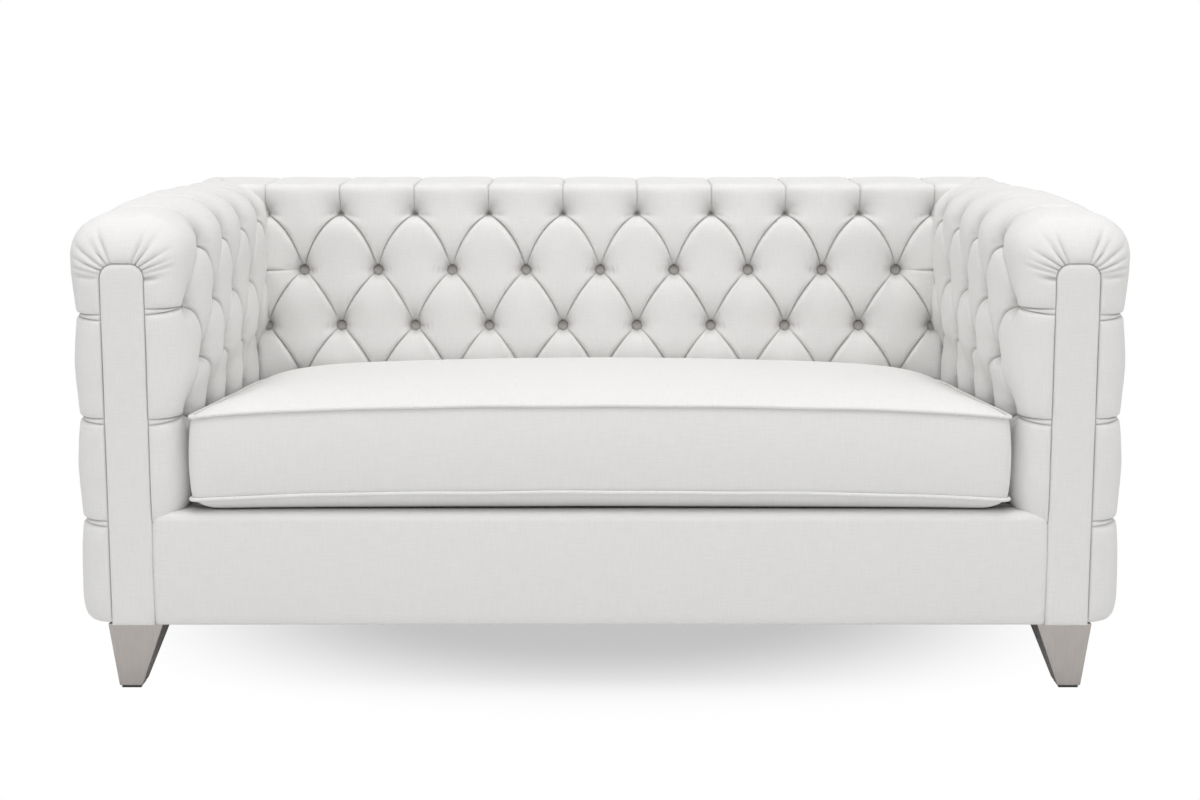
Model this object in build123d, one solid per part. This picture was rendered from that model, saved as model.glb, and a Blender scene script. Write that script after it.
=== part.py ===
from build123d import *
import math
import os

os.makedirs("parts", exist_ok=True)

# Loveseat, millimetres. +Z up, +X to the right of someone looking at it, the front faces -Y.

# Overall sizes
overall_width = 1626.0
overall_depth = 840.0
crest_height = 744.0
leg_height = 108.0

# Clearances
body_gap = 2.0
soft_gap = 0.5
fine_gap = 0.3
thread_gap = 0.1

# Arm, counted outward from the centre line of the sofa
outer_rise = 29.0
outer_slab = 31.0
board_thickness = 5.0
arm_post_width = 56.0
inner_slab = 25.0
inner_rise = 25.0
facing_thickness = 14.0
facing_side_gap = 0.5
facing_top_drop = 12.0
facing_corner = 22.0

# Tufting
roll_height = 60.0
first_button_back = 69.0
arm_spaces = 4
inner_row_front = 85.0
inner_row_back = 104.0
outer_row_pitch = 80.0
outer_top_drop = 14.0
outer_rows = 8
back_end_margin = 11.5
back_row_pitch = 104.0
back_columns = 4.5
back_rise = 28.0
corner_cut = 23.0
pleat_land = 0.975
least_cell = 1500.0
pillow_levels = ((0.0, 1.0), (0.62, 0.87), (0.9, 0.7), (1.0, 0.45))
pleat_inset = 12.0
rib_steps = ((0.0, 1.0), (0.12, 0.5), (0.28, 0.15), (0.5, 0.0), (0.72, 0.15), (0.88, 0.5))
front_end_steps = ((0.35, 0.0), (0.7, 0.5), (0.9, 1.7), (1.0, 3.0))
button_radius = 10.0
button_dome = 6.0
button_rim = 2.0

# Back
back_depth = 226.0
back_frame_depth = 170.0
recline = 5.0
recline_height = 376.0
back_panel_thickness = 15.0
webbing_thickness = 2.0
webbing_width = 50.0
webbing_count = 8
upright_width = 40.0
upright_share = 0.32
back_rail_thickness = 32.0
top_board_thickness = 24.0
tack_rail_height = 40.0
tack_rail_lift = 34.0

# Seat deck and frame
seat_front = 288.0
seat_tilt = 3.0
deck_thickness = 22.0
deck_lip = 36.0
front_roll = 35.0
seat_rail_thickness = 32.0
seat_rail_height = 110.0
side_rail_height = 100.0
post_depth = 50.0
arm_top_rail_height = 44.0
arm_tack_low = 305.0
cross_brace_width = 40.0
cross_brace_height = 50.0
corner_block_size = 80.0
corner_block_height = 40.0
dust_cover_thickness = 1.0
dust_cover_edge = 12.0

# Springs
spring_count = 7
spring_half_loops = 14
spring_half_width = 22.0
spring_turn = 11.0
wire_radius = 1.9
clip_length = 18.0
clip_depth = 12.0
clip_height = 8.0

# Seat cushion, heights counted from the deck
cushion_back_room = 22.0
cushion_set_back = 4.0
cushion_bottom = 1.0
bottom_seam = 28.0
boxing_height = 130.0
boxing_band = 30.0
boxing_bulge = 5.0
crown_height = 28.0
cushion_corner = 26.0
welt_radius = 4.5
crown_steps = ((0.45, 38.0), (0.8, 100.0), (1.0, 190.0))
belly_steps = ((1.0, 120.0), (0.62, 40.0))
zip_end_room = 66.0
zip_width = 25.0
zip_thickness = 1.2
slider_length = 14.0
slider_height = 10.0
slider_thickness = 4.0
pull_length = 26.0
pull_thickness = 1.5

# Legs
leg_top_width = 86.0
leg_foot_width = 34.0
leg_outer_slant = 12.0
leg_front_slant = 10.0
leg_set_back = 14.0
leg_wall = 3.0
leg_plate_thickness = 5.0
glide_height = 4.0
glide_inset = 3.0
bolt_radius = 4.0
bolt_length = 34.0
bolt_head_radius = 8.0
bolt_head_height = 5.0
insert_radius = 6.0
insert_length = 26.0

# Values that follow from the ones above
half_width = overall_width / 2
roll_base = crest_height - roll_height
front = -overall_depth / 2
rear = overall_depth / 2
facing_front = front + 2 * welt_radius + fine_gap - cushion_set_back
facing_back = facing_front + facing_thickness
arm_outer_valley = half_width - outer_rise
core_outer = arm_outer_valley - outer_slab
post_outer = core_outer - board_thickness
post_inner = post_outer - arm_post_width
core_inner = post_inner - board_thickness
arm_inner_valley = core_inner - inner_slab
arm_inner_bulge = arm_inner_valley - inner_rise
arm_middle = (post_inner + post_outer) / 2
back_column_pitch = (arm_inner_bulge - back_end_margin) / back_columns
upright_place = post_inner * upright_share
spring_spacing = 2 * post_inner / (spring_count + 1)
panel_front = rear - back_panel_thickness
frame_rear = panel_front - fine_gap
pad_front = facing_front + 2.0
rail_front = facing_back
back_pad_rear = rear - back_frame_depth
web_back = back_pad_rear + webbing_thickness
upright_front = web_back + back_rail_thickness
frame_bottom = leg_height
recline_slope = math.tan(math.radians(recline))
deck_slope = math.tan(math.radians(seat_tilt))


def back_valley(height):
    """Y of the bottom of the tufts of the inside back at a height."""
    return rear - back_depth + (height - recline_height) * recline_slope


def deck_top(y):
    """Height of the seat deck at a place between front and back."""
    return seat_front - (y - facing_front) * deck_slope


first_button = facing_front + first_button_back
arm_pitch = (back_valley(roll_base) - first_button) / arm_spaces
back_low = deck_top(back_valley(seat_front)) + soft_gap
spring_plane_drop = deck_thickness + fine_gap + clip_height / 2 + clip_depth / 2 * deck_slope


def span(x0, x1, y0, y1, z0, z1):
    """Plain board between six faces."""
    middle = Pos((x0 + x1) / 2, (y0 + y1) / 2, (z0 + z1) / 2)
    return middle * Box(x1 - x0, y1 - y0, z1 - z0)


def other_side(shape):
    return mirror(shape, about=Plane.YZ)


def save(name, shape):
    export_step(shape, "parts/" + name + ".step")


def save_pair(name, right_shape):
    """Write a piece of the right arm and its mirror image on the left."""
    save("right_" + name, right_shape)
    save("left_" + name, other_side(right_shape))


def group(solids):
    return Compound(children=list(solids))


def along_x(points, x0, x1):
    """Solid of constant section, its outline in the YZ plane, from x0 to x1."""
    outline = make_face(Polyline(*[(x0, y, z) for y, z in points], close=True))
    return extrude(outline, amount=x1 - x0, dir=(1, 0, 0))


# Tufted pads: one raised pillow for each diamond between buttons

def keep_side(points, base, direction):
    """Part of a convex outline on the side of a line that direction points to."""
    kept = []
    count = len(points)
    for index in range(count):
        here = points[index]
        there = points[(index + 1) % count]
        near = (here[0] - base[0]) * direction[0] + (here[1] - base[1]) * direction[1]
        far = (there[0] - base[0]) * direction[0] + (there[1] - base[1]) * direction[1]
        if near >= 0:
            kept.append(here)
        if near * far < 0:
            share = near / (near - far)
            across = here[0] + (there[0] - here[0]) * share
            along = here[1] + (there[1] - here[1]) * share
            kept.append((across, along))
    return kept


def area(points):
    total = 0.0
    for index in range(len(points)):
        x0, y0 = points[index - 1]
        x1, y1 = points[index]
        total += x0 * y1 - x1 * y0
    return abs(total) / 2


def blunt(points):
    """Cut the corners of an outline, so that a button has room between pillows."""
    cut = []
    for index in range(len(points)):
        here = points[index]
        for other in (points[index - 1], points[(index + 1) % len(points)]):
            length = math.dist(here, other)
            share = min(corner_cut, length * 0.3) / length
            across = here[0] + (other[0] - here[0]) * share
            along = here[1] + (other[1] - here[1]) * share
            cut.append((across, along))
    return cut


def pillow(points, plane, rise):
    """Crowned pillow standing on a plane, its outline given in the plane."""
    outline = blunt(points)
    middle_u = sum(point[0] for point in outline) / len(outline)
    middle_v = sum(point[1] for point in outline) / len(outline)
    sections = []
    for level, scale in pillow_levels:
        size = scale * pleat_land
        ring = []
        for u, v in outline:
            ring.append((middle_u + (u - middle_u) * size, middle_v + (v - middle_v) * size))
        sections.append(plane.offset(rise * level) * make_face(Polyline(*ring, close=True)))
    return loft(sections, ruled=True)


def tufts(button, rows, columns, edges, ends):
    """Outlines of the diamonds of a field of buttons, cut off at its edges.

    Odd rows of buttons stand at half columns, even rows at whole ones.
    Ends gives the two sides where level pleats run out to the edge, or None.
    """
    cells = []
    for row in range(1, rows + 1):
        steps = int(round(2 * (columns[1] - columns[0])))
        for step in range(steps + 1):
            column = columns[0] + step / 2
            if (row + int(round(2 * column))) % 2 == 0:
                continue
            top = button(row - 1, column)
            low = button(row + 1, column)
            left = [button(row, column - 0.5)]
            right = [button(row, column + 0.5)]
            if ends[0] is not None and column == columns[0]:
                left = [(ends[0], low[1]), (ends[0], top[1])]
            if ends[1] is not None and column == columns[1]:
                right = [(ends[1], top[1]), (ends[1], low[1])]
            outline = [low] + left + [top] + right
            for base, direction in edges:
                if outline:
                    outline = keep_side(outline, base, direction)
            if len(outline) > 2 and area(outline) > least_cell:
                cells.append(outline)
    return cells


def inner_button(row, column):
    """Place on the inside of the arm, as Y and Z."""
    share = column / arm_spaces
    pitch = inner_row_front + (inner_row_back - inner_row_front) * share
    height = roll_base - (row - 1) * pitch
    corner = back_valley(height)
    return (first_button + (corner - first_button) * share, height)


def outer_button(row, column):
    """Place on the outside of the arm, as Y and Z."""
    height = roll_base - outer_top_drop - (row - 1) * outer_row_pitch
    return (first_button + column * arm_pitch, height)


def back_button(row, column):
    """Place on the inside back, as X and distance up the slope from the deck."""
    height = roll_base - back_low - (row - 1) * back_row_pitch
    return (column * back_column_pitch, height / math.cos(math.radians(recline)))


# Inside pad of the right arm
inner_corner_low = back_valley(back_low) - soft_gap
inner_corner_high = back_valley(roll_base) - soft_gap
inner_low_front = deck_top(pad_front) + soft_gap
inner_low_rear = deck_top(inner_corner_low) + soft_gap
inner_outline = [
    (pad_front, inner_low_front),
    (inner_corner_low, inner_low_rear),
    (inner_corner_high, roll_base),
    (pad_front, roll_base),
]
inner_plane = Plane(origin=(arm_inner_valley, 0, 0), x_dir=(0, 1, 0), z_dir=(-1, 0, 0))
inner_edges = [
    ((pad_front, 0.0), (1.0, 0.0)),
    ((0.0, roll_base), (0.0, -1.0)),
    ((pad_front, inner_low_front), (deck_slope, 1.0)),
    ((inner_corner_low, back_low), (-1.0, recline_slope)),
]
inner_cells = tufts(inner_button, 6, (0, arm_spaces), inner_edges, (pad_front, None))
inner_pad = along_x(inner_outline, arm_inner_valley, core_inner)
inner_pillows = []
for cell in inner_cells:
    flipped = [(y, -z) for y, z in cell]
    inner_pillows.append(pillow(flipped, inner_plane, inner_rise))
inner_pad = inner_pad + inner_pillows

# Outside pad of the right arm
outer_plane = Plane(origin=(arm_outer_valley, 0, 0), x_dir=(0, 1, 0), z_dir=(1, 0, 0))
outer_edges = [
    ((pad_front, 0.0), (1.0, 0.0)),
    ((frame_rear, 0.0), (-1.0, 0.0)),
    ((0.0, roll_base), (0.0, -1.0)),
    ((0.0, frame_bottom), (0.0, 1.0)),
]
outer_columns = (0, arm_spaces + 1)
outer_cells = tufts(outer_button, outer_rows, outer_columns, outer_edges, (pad_front, frame_rear))
outer_pad = span(core_outer, arm_outer_valley, pad_front, frame_rear, frame_bottom, roll_base)
outer_pad = outer_pad + [pillow(cell, outer_plane, outer_rise) for cell in outer_cells]

# Inside back pad, its tufts on the reclined face
back_side = arm_inner_valley - body_gap
back_foot = (back_valley(back_low), back_low)
back_head = (back_valley(roll_base), roll_base)
back_outline = [back_foot, back_head, (back_pad_rear, roll_base), (back_pad_rear, back_low)]
back_pad = along_x(back_outline, -back_side, back_side)
back_plane = Plane(
    origin=(0, back_foot[0], back_low),
    x_dir=(1, 0, 0),
    z_dir=(0, -math.cos(math.radians(recline)), math.sin(math.radians(recline))),
)
back_slope_length = (roll_base - back_low) / math.cos(math.radians(recline))
back_edge = arm_inner_bulge - body_gap
back_edges = [
    ((-back_edge, 0.0), (1.0, 0.0)),
    ((back_edge, 0.0), (-1.0, 0.0)),
    ((0.0, back_slope_length), (0.0, -1.0)),
    ((0.0, 0.0), (0.0, 1.0)),
]
back_cells = tufts(back_button, 6, (-back_columns, back_columns), back_edges, (None, None))
back_pad = back_pad + [pillow(cell, back_plane, back_rise) for cell in back_cells]


# Rolls over the top of arms and back, drawn in at each pleat

def roll_section(plane, low_half, height, inset):
    """Section of a roll: flat below, one arc above."""
    half = low_half - inset
    top = height - inset
    line = Line((half, 0), (-half, 0)) + ThreePointArc((-half, 0), (0, top), (half, 0))
    return plane * make_face(line)


def roll_places(stops):
    """Places and insets along a roll with a pleat at each stop."""
    places = []
    for index in range(len(stops) - 1):
        for share, depth in rib_steps:
            place = stops[index] + (stops[index + 1] - stops[index]) * share
            places.append((place, pleat_inset * depth))
    places.append((stops[-1], pleat_inset))
    return places


roll_inner = arm_inner_bulge
roll_outer = half_width - 3.0
arm_roll_half = (roll_outer - roll_inner) / 2
arm_roll_middle = (roll_outer + roll_inner) / 2
back_roll_front = back_valley(roll_base) - back_rise
back_roll_rear = rear - 2.0
back_roll_half = (back_roll_rear - back_roll_front) / 2
back_roll_middle = (back_roll_rear + back_roll_front) / 2

arm_stops = [first_button + (step + 0.5) * arm_pitch for step in range(arm_spaces + 2)]
arm_places = roll_places(arm_stops)
for share, depth in front_end_steps:
    place = arm_stops[0] + (pad_front - arm_stops[0]) * share
    arm_places.insert(0, (place, pleat_inset * depth))
arm_sections = []
for place, inset in arm_places:
    here = Plane(origin=(arm_roll_middle, place, roll_base), x_dir=(1, 0, 0), z_dir=(0, -1, 0))
    arm_sections.append(roll_section(here, arm_roll_half, roll_height, inset))
arm_roll = loft(arm_sections, ruled=True)

back_stops = [(step - back_columns) * back_column_pitch for step in range(10)]
back_stops = [-half_width - 80.0] + back_stops + [half_width + 80.0]
back_sections = []
for place, inset in roll_places(back_stops):
    here = Plane(origin=(place, back_roll_middle, roll_base), x_dir=(0, 1, 0), z_dir=(1, 0, 0))
    back_sections.append(roll_section(here, back_roll_half, roll_height, inset))
back_roll = loft(back_sections, ruled=True)

mitre_x = roll_outer - roll_inner
mitre_y = back_roll_rear - back_roll_front
mitre_length = math.hypot(mitre_x, mitre_y)
mitre_out = (mitre_y / mitre_length, -mitre_x / mitre_length, 0)
for side, mark in ((1, "right"), (-1, "left")):
    normal = (side * mitre_out[0], mitre_out[1], 0)
    arm_cut = Plane(
        origin=(side * (roll_inner + soft_gap), back_roll_front - soft_gap, roll_base),
        z_dir=normal,
    )
    back_cut = Plane(origin=(side * roll_inner, back_roll_front, roll_base), z_dir=normal)
    whole_roll = arm_roll if side > 0 else other_side(arm_roll)
    save(mark + "_arm_roll", split(whole_roll, bisect_by=arm_cut, keep=Keep.TOP))
    back_roll = split(back_roll, bisect_by=back_cut, keep=Keep.BOTTOM)
save("back_roll", back_roll)


# Buttons: a dome on a low rim, seated in the bottom of a tuft

def button_solid():
    rim = Pos(0, 0, button_rim / 2) * Cylinder(button_radius, button_rim)
    dome_ball = (button_radius**2 + button_dome**2) / (2 * button_dome)
    dome = Pos(0, 0, button_rim + button_dome - dome_ball) * Sphere(dome_ball)
    keeper = Pos(0, 0, button_rim + dome_ball) * Box(4 * dome_ball, 4 * dome_ball, 2 * dome_ball)
    return rim + (dome & keeper)


one_button = button_solid()


def buttons_on(plane, places):
    return group([plane * Pos(u, v, 0) * one_button for u, v in places])


def with_pockets(pad, plane, places, rise):
    """Pad with room for each button between its pillows."""
    room = Pos(0, 0, rise) * Cylinder(button_radius + fine_gap, 2 * rise)
    return pad - [plane * Pos(u, v, 0) * room for u, v in places]


def button_places(button, rows, columns):
    places = []
    for row in range(1, rows + 1):
        steps = int(round(2 * (columns[1] - columns[0])))
        for step in range(steps + 1):
            column = columns[0] + step / 2
            if (row + int(round(2 * column))) % 2 == 0:
                places.append(button(row, column))
    return places


edge_drop = button_radius + soft_gap
inner_places = []
for y, z in button_places(inner_button, 5, (0, arm_spaces - 0.5)):
    if z > deck_top(y) + 2 * button_radius:
        inner_places.append((y, -min(z, roll_base - edge_drop)))
save_pair("arm_inner_buttons", buttons_on(inner_plane, inner_places))
save_pair("arm_inner_pad", with_pockets(inner_pad, inner_plane, inner_places, inner_rise))
outer_places = button_places(outer_button, outer_rows - 1, outer_columns)
save_pair("arm_outer_buttons", buttons_on(outer_plane, outer_places))
save_pair("arm_outer_pad", with_pockets(outer_pad, outer_plane, outer_places, outer_rise))
back_places = []
for u, v in button_places(back_button, 4, (-back_columns, back_columns)):
    back_places.append((u, min(v, back_slope_length - edge_drop)))
save("back_buttons", buttons_on(back_plane, back_places))
save("back_pad", with_pockets(back_pad, back_plane, back_places, back_rise))

# Facings on the arm fronts
facing_half = (core_outer - core_inner) / 2 - facing_side_gap
facing_top = roll_base - facing_top_drop
facing_middle = (core_inner + core_outer) / 2
facing_height = facing_top - frame_bottom
facing_outline = Pos(0, (facing_top + frame_bottom) / 2) * Rectangle(2 * facing_half, facing_height)
facing_outline = fillet(facing_outline.vertices().group_by(Axis.Y)[-1], facing_corner)
facing_plane = Plane(origin=(facing_middle, facing_back, 0), x_dir=(1, 0, 0), z_dir=(0, -1, 0))
facing = extrude(facing_plane * facing_outline, amount=facing_thickness)
save_pair("arm_facing", facing)

# Arm frames: posts, rails and the boards that carry the pads
front_post_back = facing_back + post_depth
rear_post_front = frame_rear - post_depth
top_rail_low = roll_base - arm_top_rail_height


def bolt_hole(y):
    return Pos(arm_middle, y, frame_bottom) * Cylinder(
        insert_radius + thread_gap, 2 * (bolt_length + body_gap)
    )


front_bolt_y = (facing_back + front_post_back) / 2
rear_bolt_y = (rear_post_front + frame_rear) / 2
front_post = span(post_inner, post_outer, facing_back, front_post_back, frame_bottom, top_rail_low)
save_pair("arm_front_post", front_post - bolt_hole(front_bolt_y))
rear_post = span(post_inner, post_outer, rear_post_front, frame_rear, frame_bottom, top_rail_low)
save_pair("arm_rear_post", rear_post - bolt_hole(rear_bolt_y))
save_pair("arm_top_rail", span(post_inner, post_outer, facing_back, frame_rear, top_rail_low, roll_base))
side_top = frame_bottom + side_rail_height
save_pair("seat_side_rail", span(
    post_inner, post_outer, front_post_back, rear_post_front, frame_bottom, side_top))
arm_tack_top = arm_tack_low + tack_rail_height
save_pair("arm_tack_rail", span(
    post_inner, post_outer, front_post_back, rear_post_front, arm_tack_low, arm_tack_top))
save_pair("arm_inner_board", along_x(
    [
        (facing_back, deck_top(facing_back) + soft_gap),
        (back_pad_rear, deck_top(facing_back) + soft_gap),
        (back_pad_rear, roll_base),
        (facing_back, roll_base),
    ], core_inner, post_inner))
save_pair("arm_outer_board", span(
    post_outer, core_outer, facing_back, frame_rear, frame_bottom, roll_base))

# Seat frame
front_rail_top = deck_top(rail_front) - spring_plane_drop - clip_height / 2 - 1.0
front_rail = span(-post_inner, post_inner, rail_front, rail_front + seat_rail_thickness,
                  frame_bottom, front_rail_top)
save("front_seat_rail", front_rail)
rear_rail_top = frame_bottom + seat_rail_height
save("rear_seat_rail", span(-post_inner, post_inner, frame_rear - seat_rail_thickness, frame_rear,
                            frame_bottom, rear_rail_top))
spring_rail_top = deck_top(upright_front) - spring_plane_drop - clip_height / 2
save("rear_spring_rail", span(-post_inner, post_inner, web_back, upright_front,
                              frame_bottom, spring_rail_top))
save("seat_cross_brace", span(-cross_brace_width / 2, cross_brace_width / 2,
                              rail_front + seat_rail_thickness, web_back,
                              frame_bottom, frame_bottom + cross_brace_height))


def corner_block(corner_y, away):
    """Three-cornered block in a corner of the seat frame."""
    points = [
        (post_inner, corner_y),
        (post_inner - corner_block_size, corner_y),
        (post_inner, corner_y + away * corner_block_size),
    ]
    outline = make_face(Polyline(*[(x, y, frame_bottom) for x, y in points], close=True))
    return extrude(outline, amount=corner_block_height, dir=(0, 0, 1))


right_blocks = [
    corner_block(rail_front + seat_rail_thickness, 1),
    corner_block(frame_rear - seat_rail_thickness, -1),
]
save("corner_blocks", group(right_blocks + [other_side(block) for block in right_blocks]))

# Back frame
back_post_inner = post_inner - upright_width
board_low = roll_base - top_board_thickness
tack_low = deck_top(web_back) + tack_rail_lift
tack_top = tack_low + tack_rail_height
save_pair("back_post", span(back_post_inner, post_inner, upright_front, frame_rear,
                            rear_rail_top, board_low))
right_upright = span(upright_place - upright_width / 2, upright_place + upright_width / 2,
                     upright_front, frame_rear, rear_rail_top, board_low)
save("back_uprights", group([right_upright, other_side(right_upright)]))
save("back_top_rail", span(-post_inner, post_inner, web_back, frame_rear, board_low, roll_base))
save("back_tack_rail", span(-post_inner, post_inner, web_back, upright_front, tack_low, tack_top))
webbing = []
web_reach = back_post_inner - webbing_width
for step in range(webbing_count):
    middle = -web_reach + 2 * web_reach * step / (webbing_count - 1)
    webbing.append(span(middle - webbing_width / 2, middle + webbing_width / 2,
                        back_pad_rear, web_back, tack_low, roll_base))
save("back_webbing", group(webbing))

# Outside back panel and dust cover
panel_half = half_width - outer_rise
save("outside_back_panel", span(-panel_half, panel_half, panel_front, rear, frame_bottom, roll_base))

# Front border, rolled over the front rail, and the deck behind it
lip_back = rail_front + deck_lip
border_outline = [
    (rail_front, frame_bottom),
    (pad_front, frame_bottom),
    (pad_front, deck_top(pad_front) - front_roll),
    (pad_front + front_roll * 0.12, deck_top(pad_front) - front_roll * 0.55),
    (pad_front + front_roll * 0.35, deck_top(pad_front) - front_roll * 0.22),
    (pad_front + front_roll, deck_top(pad_front + front_roll)),
    (lip_back, deck_top(lip_back)),
    (lip_back, deck_top(lip_back) - deck_thickness),
    (rail_front, deck_top(rail_front) - deck_thickness),
]
border_end = core_inner
save("front_border_pad", along_x(border_outline, -border_end, border_end))
deck_front = lip_back + soft_gap
deck_rear = upright_front - fine_gap
deck_outline = [
    (deck_front, deck_top(deck_front)),
    (deck_rear, deck_top(deck_rear)),
    (deck_rear, deck_top(deck_rear) - deck_thickness),
    (deck_front, deck_top(deck_front) - deck_thickness),
]
save("deck_pad", along_x(deck_outline, -border_end, border_end))

# Zigzag seat springs and the clips that hold their ends
spring_front = rail_front + seat_rail_thickness / 2
spring_rear = (web_back + upright_front) / 2
loop = (spring_rear - spring_front) / spring_half_loops
wave = []
for step in range(spring_half_loops + 1):
    side = 1 if step % 2 else -1
    place = spring_front + loop * step
    height = deck_top(place) - spring_plane_drop
    wave.append((-side * spring_half_width, place, height))
    wave.append((side * spring_half_width, place, height))
wave_path = FilletPolyline(*wave, radius=spring_turn)
wire_start = Plane(origin=wave[0], z_dir=(1, 0, 0))
one_spring = sweep(wire_start * Circle(wire_radius), path=wave_path)
spring_rows = [(step - (spring_count - 1) / 2) * spring_spacing for step in range(spring_count)]
save("seat_springs", group([Pos(x, 0, 0) * one_spring for x in spring_rows]))
clips = []
for x in spring_rows:
    for place in (spring_front, spring_rear):
        height = deck_top(place) - spring_plane_drop
        block = Pos(x, place, height) * Box(clip_length, clip_depth, clip_height)
        bore = Pos(x, place, height) * Rot(0, 90, 0) * Cylinder(wire_radius + thread_gap, 2 * clip_length)
        clips.append(block - bore)
save("spring_clips", group(clips))


# Legs: hollow tapered castings with a plate, a bolt and a glide

def leg_ring(height, inset):
    """Four corners of the front right leg at a height, drawn in by inset."""
    drop = (leg_height - height) / leg_height
    outer_x = arm_middle + leg_top_width / 2 - leg_outer_slant * drop
    inner_x = outer_x - leg_top_width + (leg_top_width - leg_foot_width) * drop
    front_y = facing_front + leg_set_back + leg_front_slant * drop
    back_y = front_y + leg_top_width - (leg_top_width - leg_foot_width) * drop
    return [
        (inner_x + inset, front_y + inset, height),
        (outer_x - inset, front_y + inset, height),
        (outer_x - inset, back_y - inset, height),
        (inner_x + inset, back_y - inset, height),
    ]


def leg_solid(low, high, inset):
    ends = [make_face(Polyline(*leg_ring(z, inset), close=True)) for z in (low, high)]
    return loft(ends, ruled=True)


def to_rear(shape):
    """Front leg piece moved to the rear, turned end for end."""
    return Pos(0, front_bolt_y + rear_bolt_y, 0) * mirror(shape, about=Plane.XZ)


plate_low = leg_height - leg_plate_thickness
leg_shell = leg_solid(glide_height, leg_height, 0.0) - leg_solid(leg_height * 0.3, leg_height, leg_wall)
leg_plate = leg_solid(plate_low, leg_height, leg_wall)
bolt_place = Pos(arm_middle, front_bolt_y, 0)
leg_plate = leg_plate - bolt_place * Cylinder(bolt_radius + thread_gap, 4 * leg_height)
bolt = bolt_place * Pos(0, 0, plate_low + bolt_length / 2) * Cylinder(bolt_radius, bolt_length)
bolt = bolt + bolt_place * Pos(0, 0, plate_low - bolt_head_height / 2) * Cylinder(
    bolt_head_radius, bolt_head_height)
insert = bolt_place * Pos(0, 0, frame_bottom + insert_length / 2) * (
    Cylinder(insert_radius, insert_length) - Cylinder(bolt_radius + thread_gap, insert_length))
glide_ends = [make_face(Polyline(*[(x, y, z) for x, y, _ in leg_ring(glide_height, glide_inset)],
                                 close=True)) for z in (0.0, glide_height)]
glide = loft(glide_ends, ruled=True)


def four_times(shape):
    pair = [shape, to_rear(shape)]
    return group(pair + [other_side(item) for item in pair])


save_pair("front_leg", leg_shell)
save_pair("rear_leg", to_rear(leg_shell))
save("leg_plates", four_times(leg_plate))
save("leg_bolts", four_times(bolt))
save("leg_inserts", four_times(insert))
save("leg_glides", four_times(glide))

# Black cloth under the seat frame, cut clear of the legs
cover_half = arm_middle - leg_top_width / 2 - dust_cover_edge
cover_front = rail_front + dust_cover_edge
cover_rear = frame_rear - dust_cover_edge
cover_low = frame_bottom - dust_cover_thickness
leg_room = leg_set_back + leg_top_width + dust_cover_edge
dust_cover = span(-cover_half, cover_half, cover_front, cover_rear, cover_low, frame_bottom)
dust_cover = dust_cover + span(-post_outer, post_outer, facing_front + leg_room, frame_rear - leg_room,
                               cover_low, frame_bottom)
save("dust_cover", dust_cover)

# Seat cushion: crowned top and bottom, full sides, a cord in each seam
cushion_half = arm_inner_bulge - body_gap - 2 * welt_radius - fine_gap
cushion_frame = Plane(
    origin=(0, facing_front, seat_front),
    x_dir=(1, 0, 0),
    z_dir=(0, math.sin(math.radians(seat_tilt)), math.cos(math.radians(seat_tilt))),
)
top_seam = bottom_seam + boxing_height
cushion_room = back_valley(seat_front) - back_rise - facing_front - cushion_set_back
cushion_depth = (cushion_room - cushion_back_room) / math.cos(math.radians(seat_tilt))
cushion_middle = cushion_set_back + cushion_depth / 2


def cushion_section(height, inset):
    """Rounded outline of the cushion at a height over the deck, as a face."""
    outline = RectangleRounded(2 * (cushion_half - inset), cushion_depth - 2 * inset, cushion_corner)
    return cushion_frame * Pos(0, cushion_middle, height) * outline


cushion_sections = []
for share, inset in belly_steps:
    height = bottom_seam - (bottom_seam - cushion_bottom) * share
    cushion_sections.append(cushion_section(height, inset))
for height, inset in (
    (bottom_seam, 0.0),
    (bottom_seam + boxing_band, -boxing_bulge),
    (top_seam - boxing_band, -boxing_bulge),
    (top_seam, 0.0),
):
    cushion_sections.append(cushion_section(height, inset))
for share, inset in crown_steps:
    cushion_sections.append(cushion_section(top_seam + crown_height * share, inset))
save("seat_cushion", loft(cushion_sections, ruled=True))


def welt(height):
    """Cord round the cushion at a seam, just outside it."""
    out = welt_radius + fine_gap
    cord_path = RectangleRounded(2 * (cushion_half + out), cushion_depth + 2 * out, cushion_corner + out)
    path = (cushion_frame * Pos(0, cushion_middle, height) * cord_path).wire()
    start = Plane(origin=path @ 0, z_dir=path % 0)
    return sweep(start * Circle(welt_radius), path=path)


save("cushion_top_welt", welt(top_seam))
save("cushion_bottom_welt", welt(bottom_seam))

# Zip in the rear boxing, with a slider that runs along it
zip_length = 2 * (cushion_half - zip_end_room)
zip_back = cushion_middle + cushion_depth / 2 + boxing_bulge
zip_height = (bottom_seam + top_seam) / 2
zip_tape = Pos(0, zip_back + zip_thickness / 2, zip_height) * Box(zip_length, zip_thickness, zip_width)
save("cushion_zip", cushion_frame * zip_tape)
slider_y = zip_back + zip_thickness + fine_gap + slider_thickness / 2
slider_x = zip_length / 2 - slider_length
slider = Pos(slider_x, slider_y, zip_height) * Box(slider_length, slider_thickness, slider_height)
slider = slider + Pos(slider_x, slider_y, zip_height - (slider_height + pull_length) / 2) * Box(
    slider_length / 2, pull_thickness, pull_length)
save("zip_slider", cushion_frame * slider)
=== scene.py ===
import math

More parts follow.
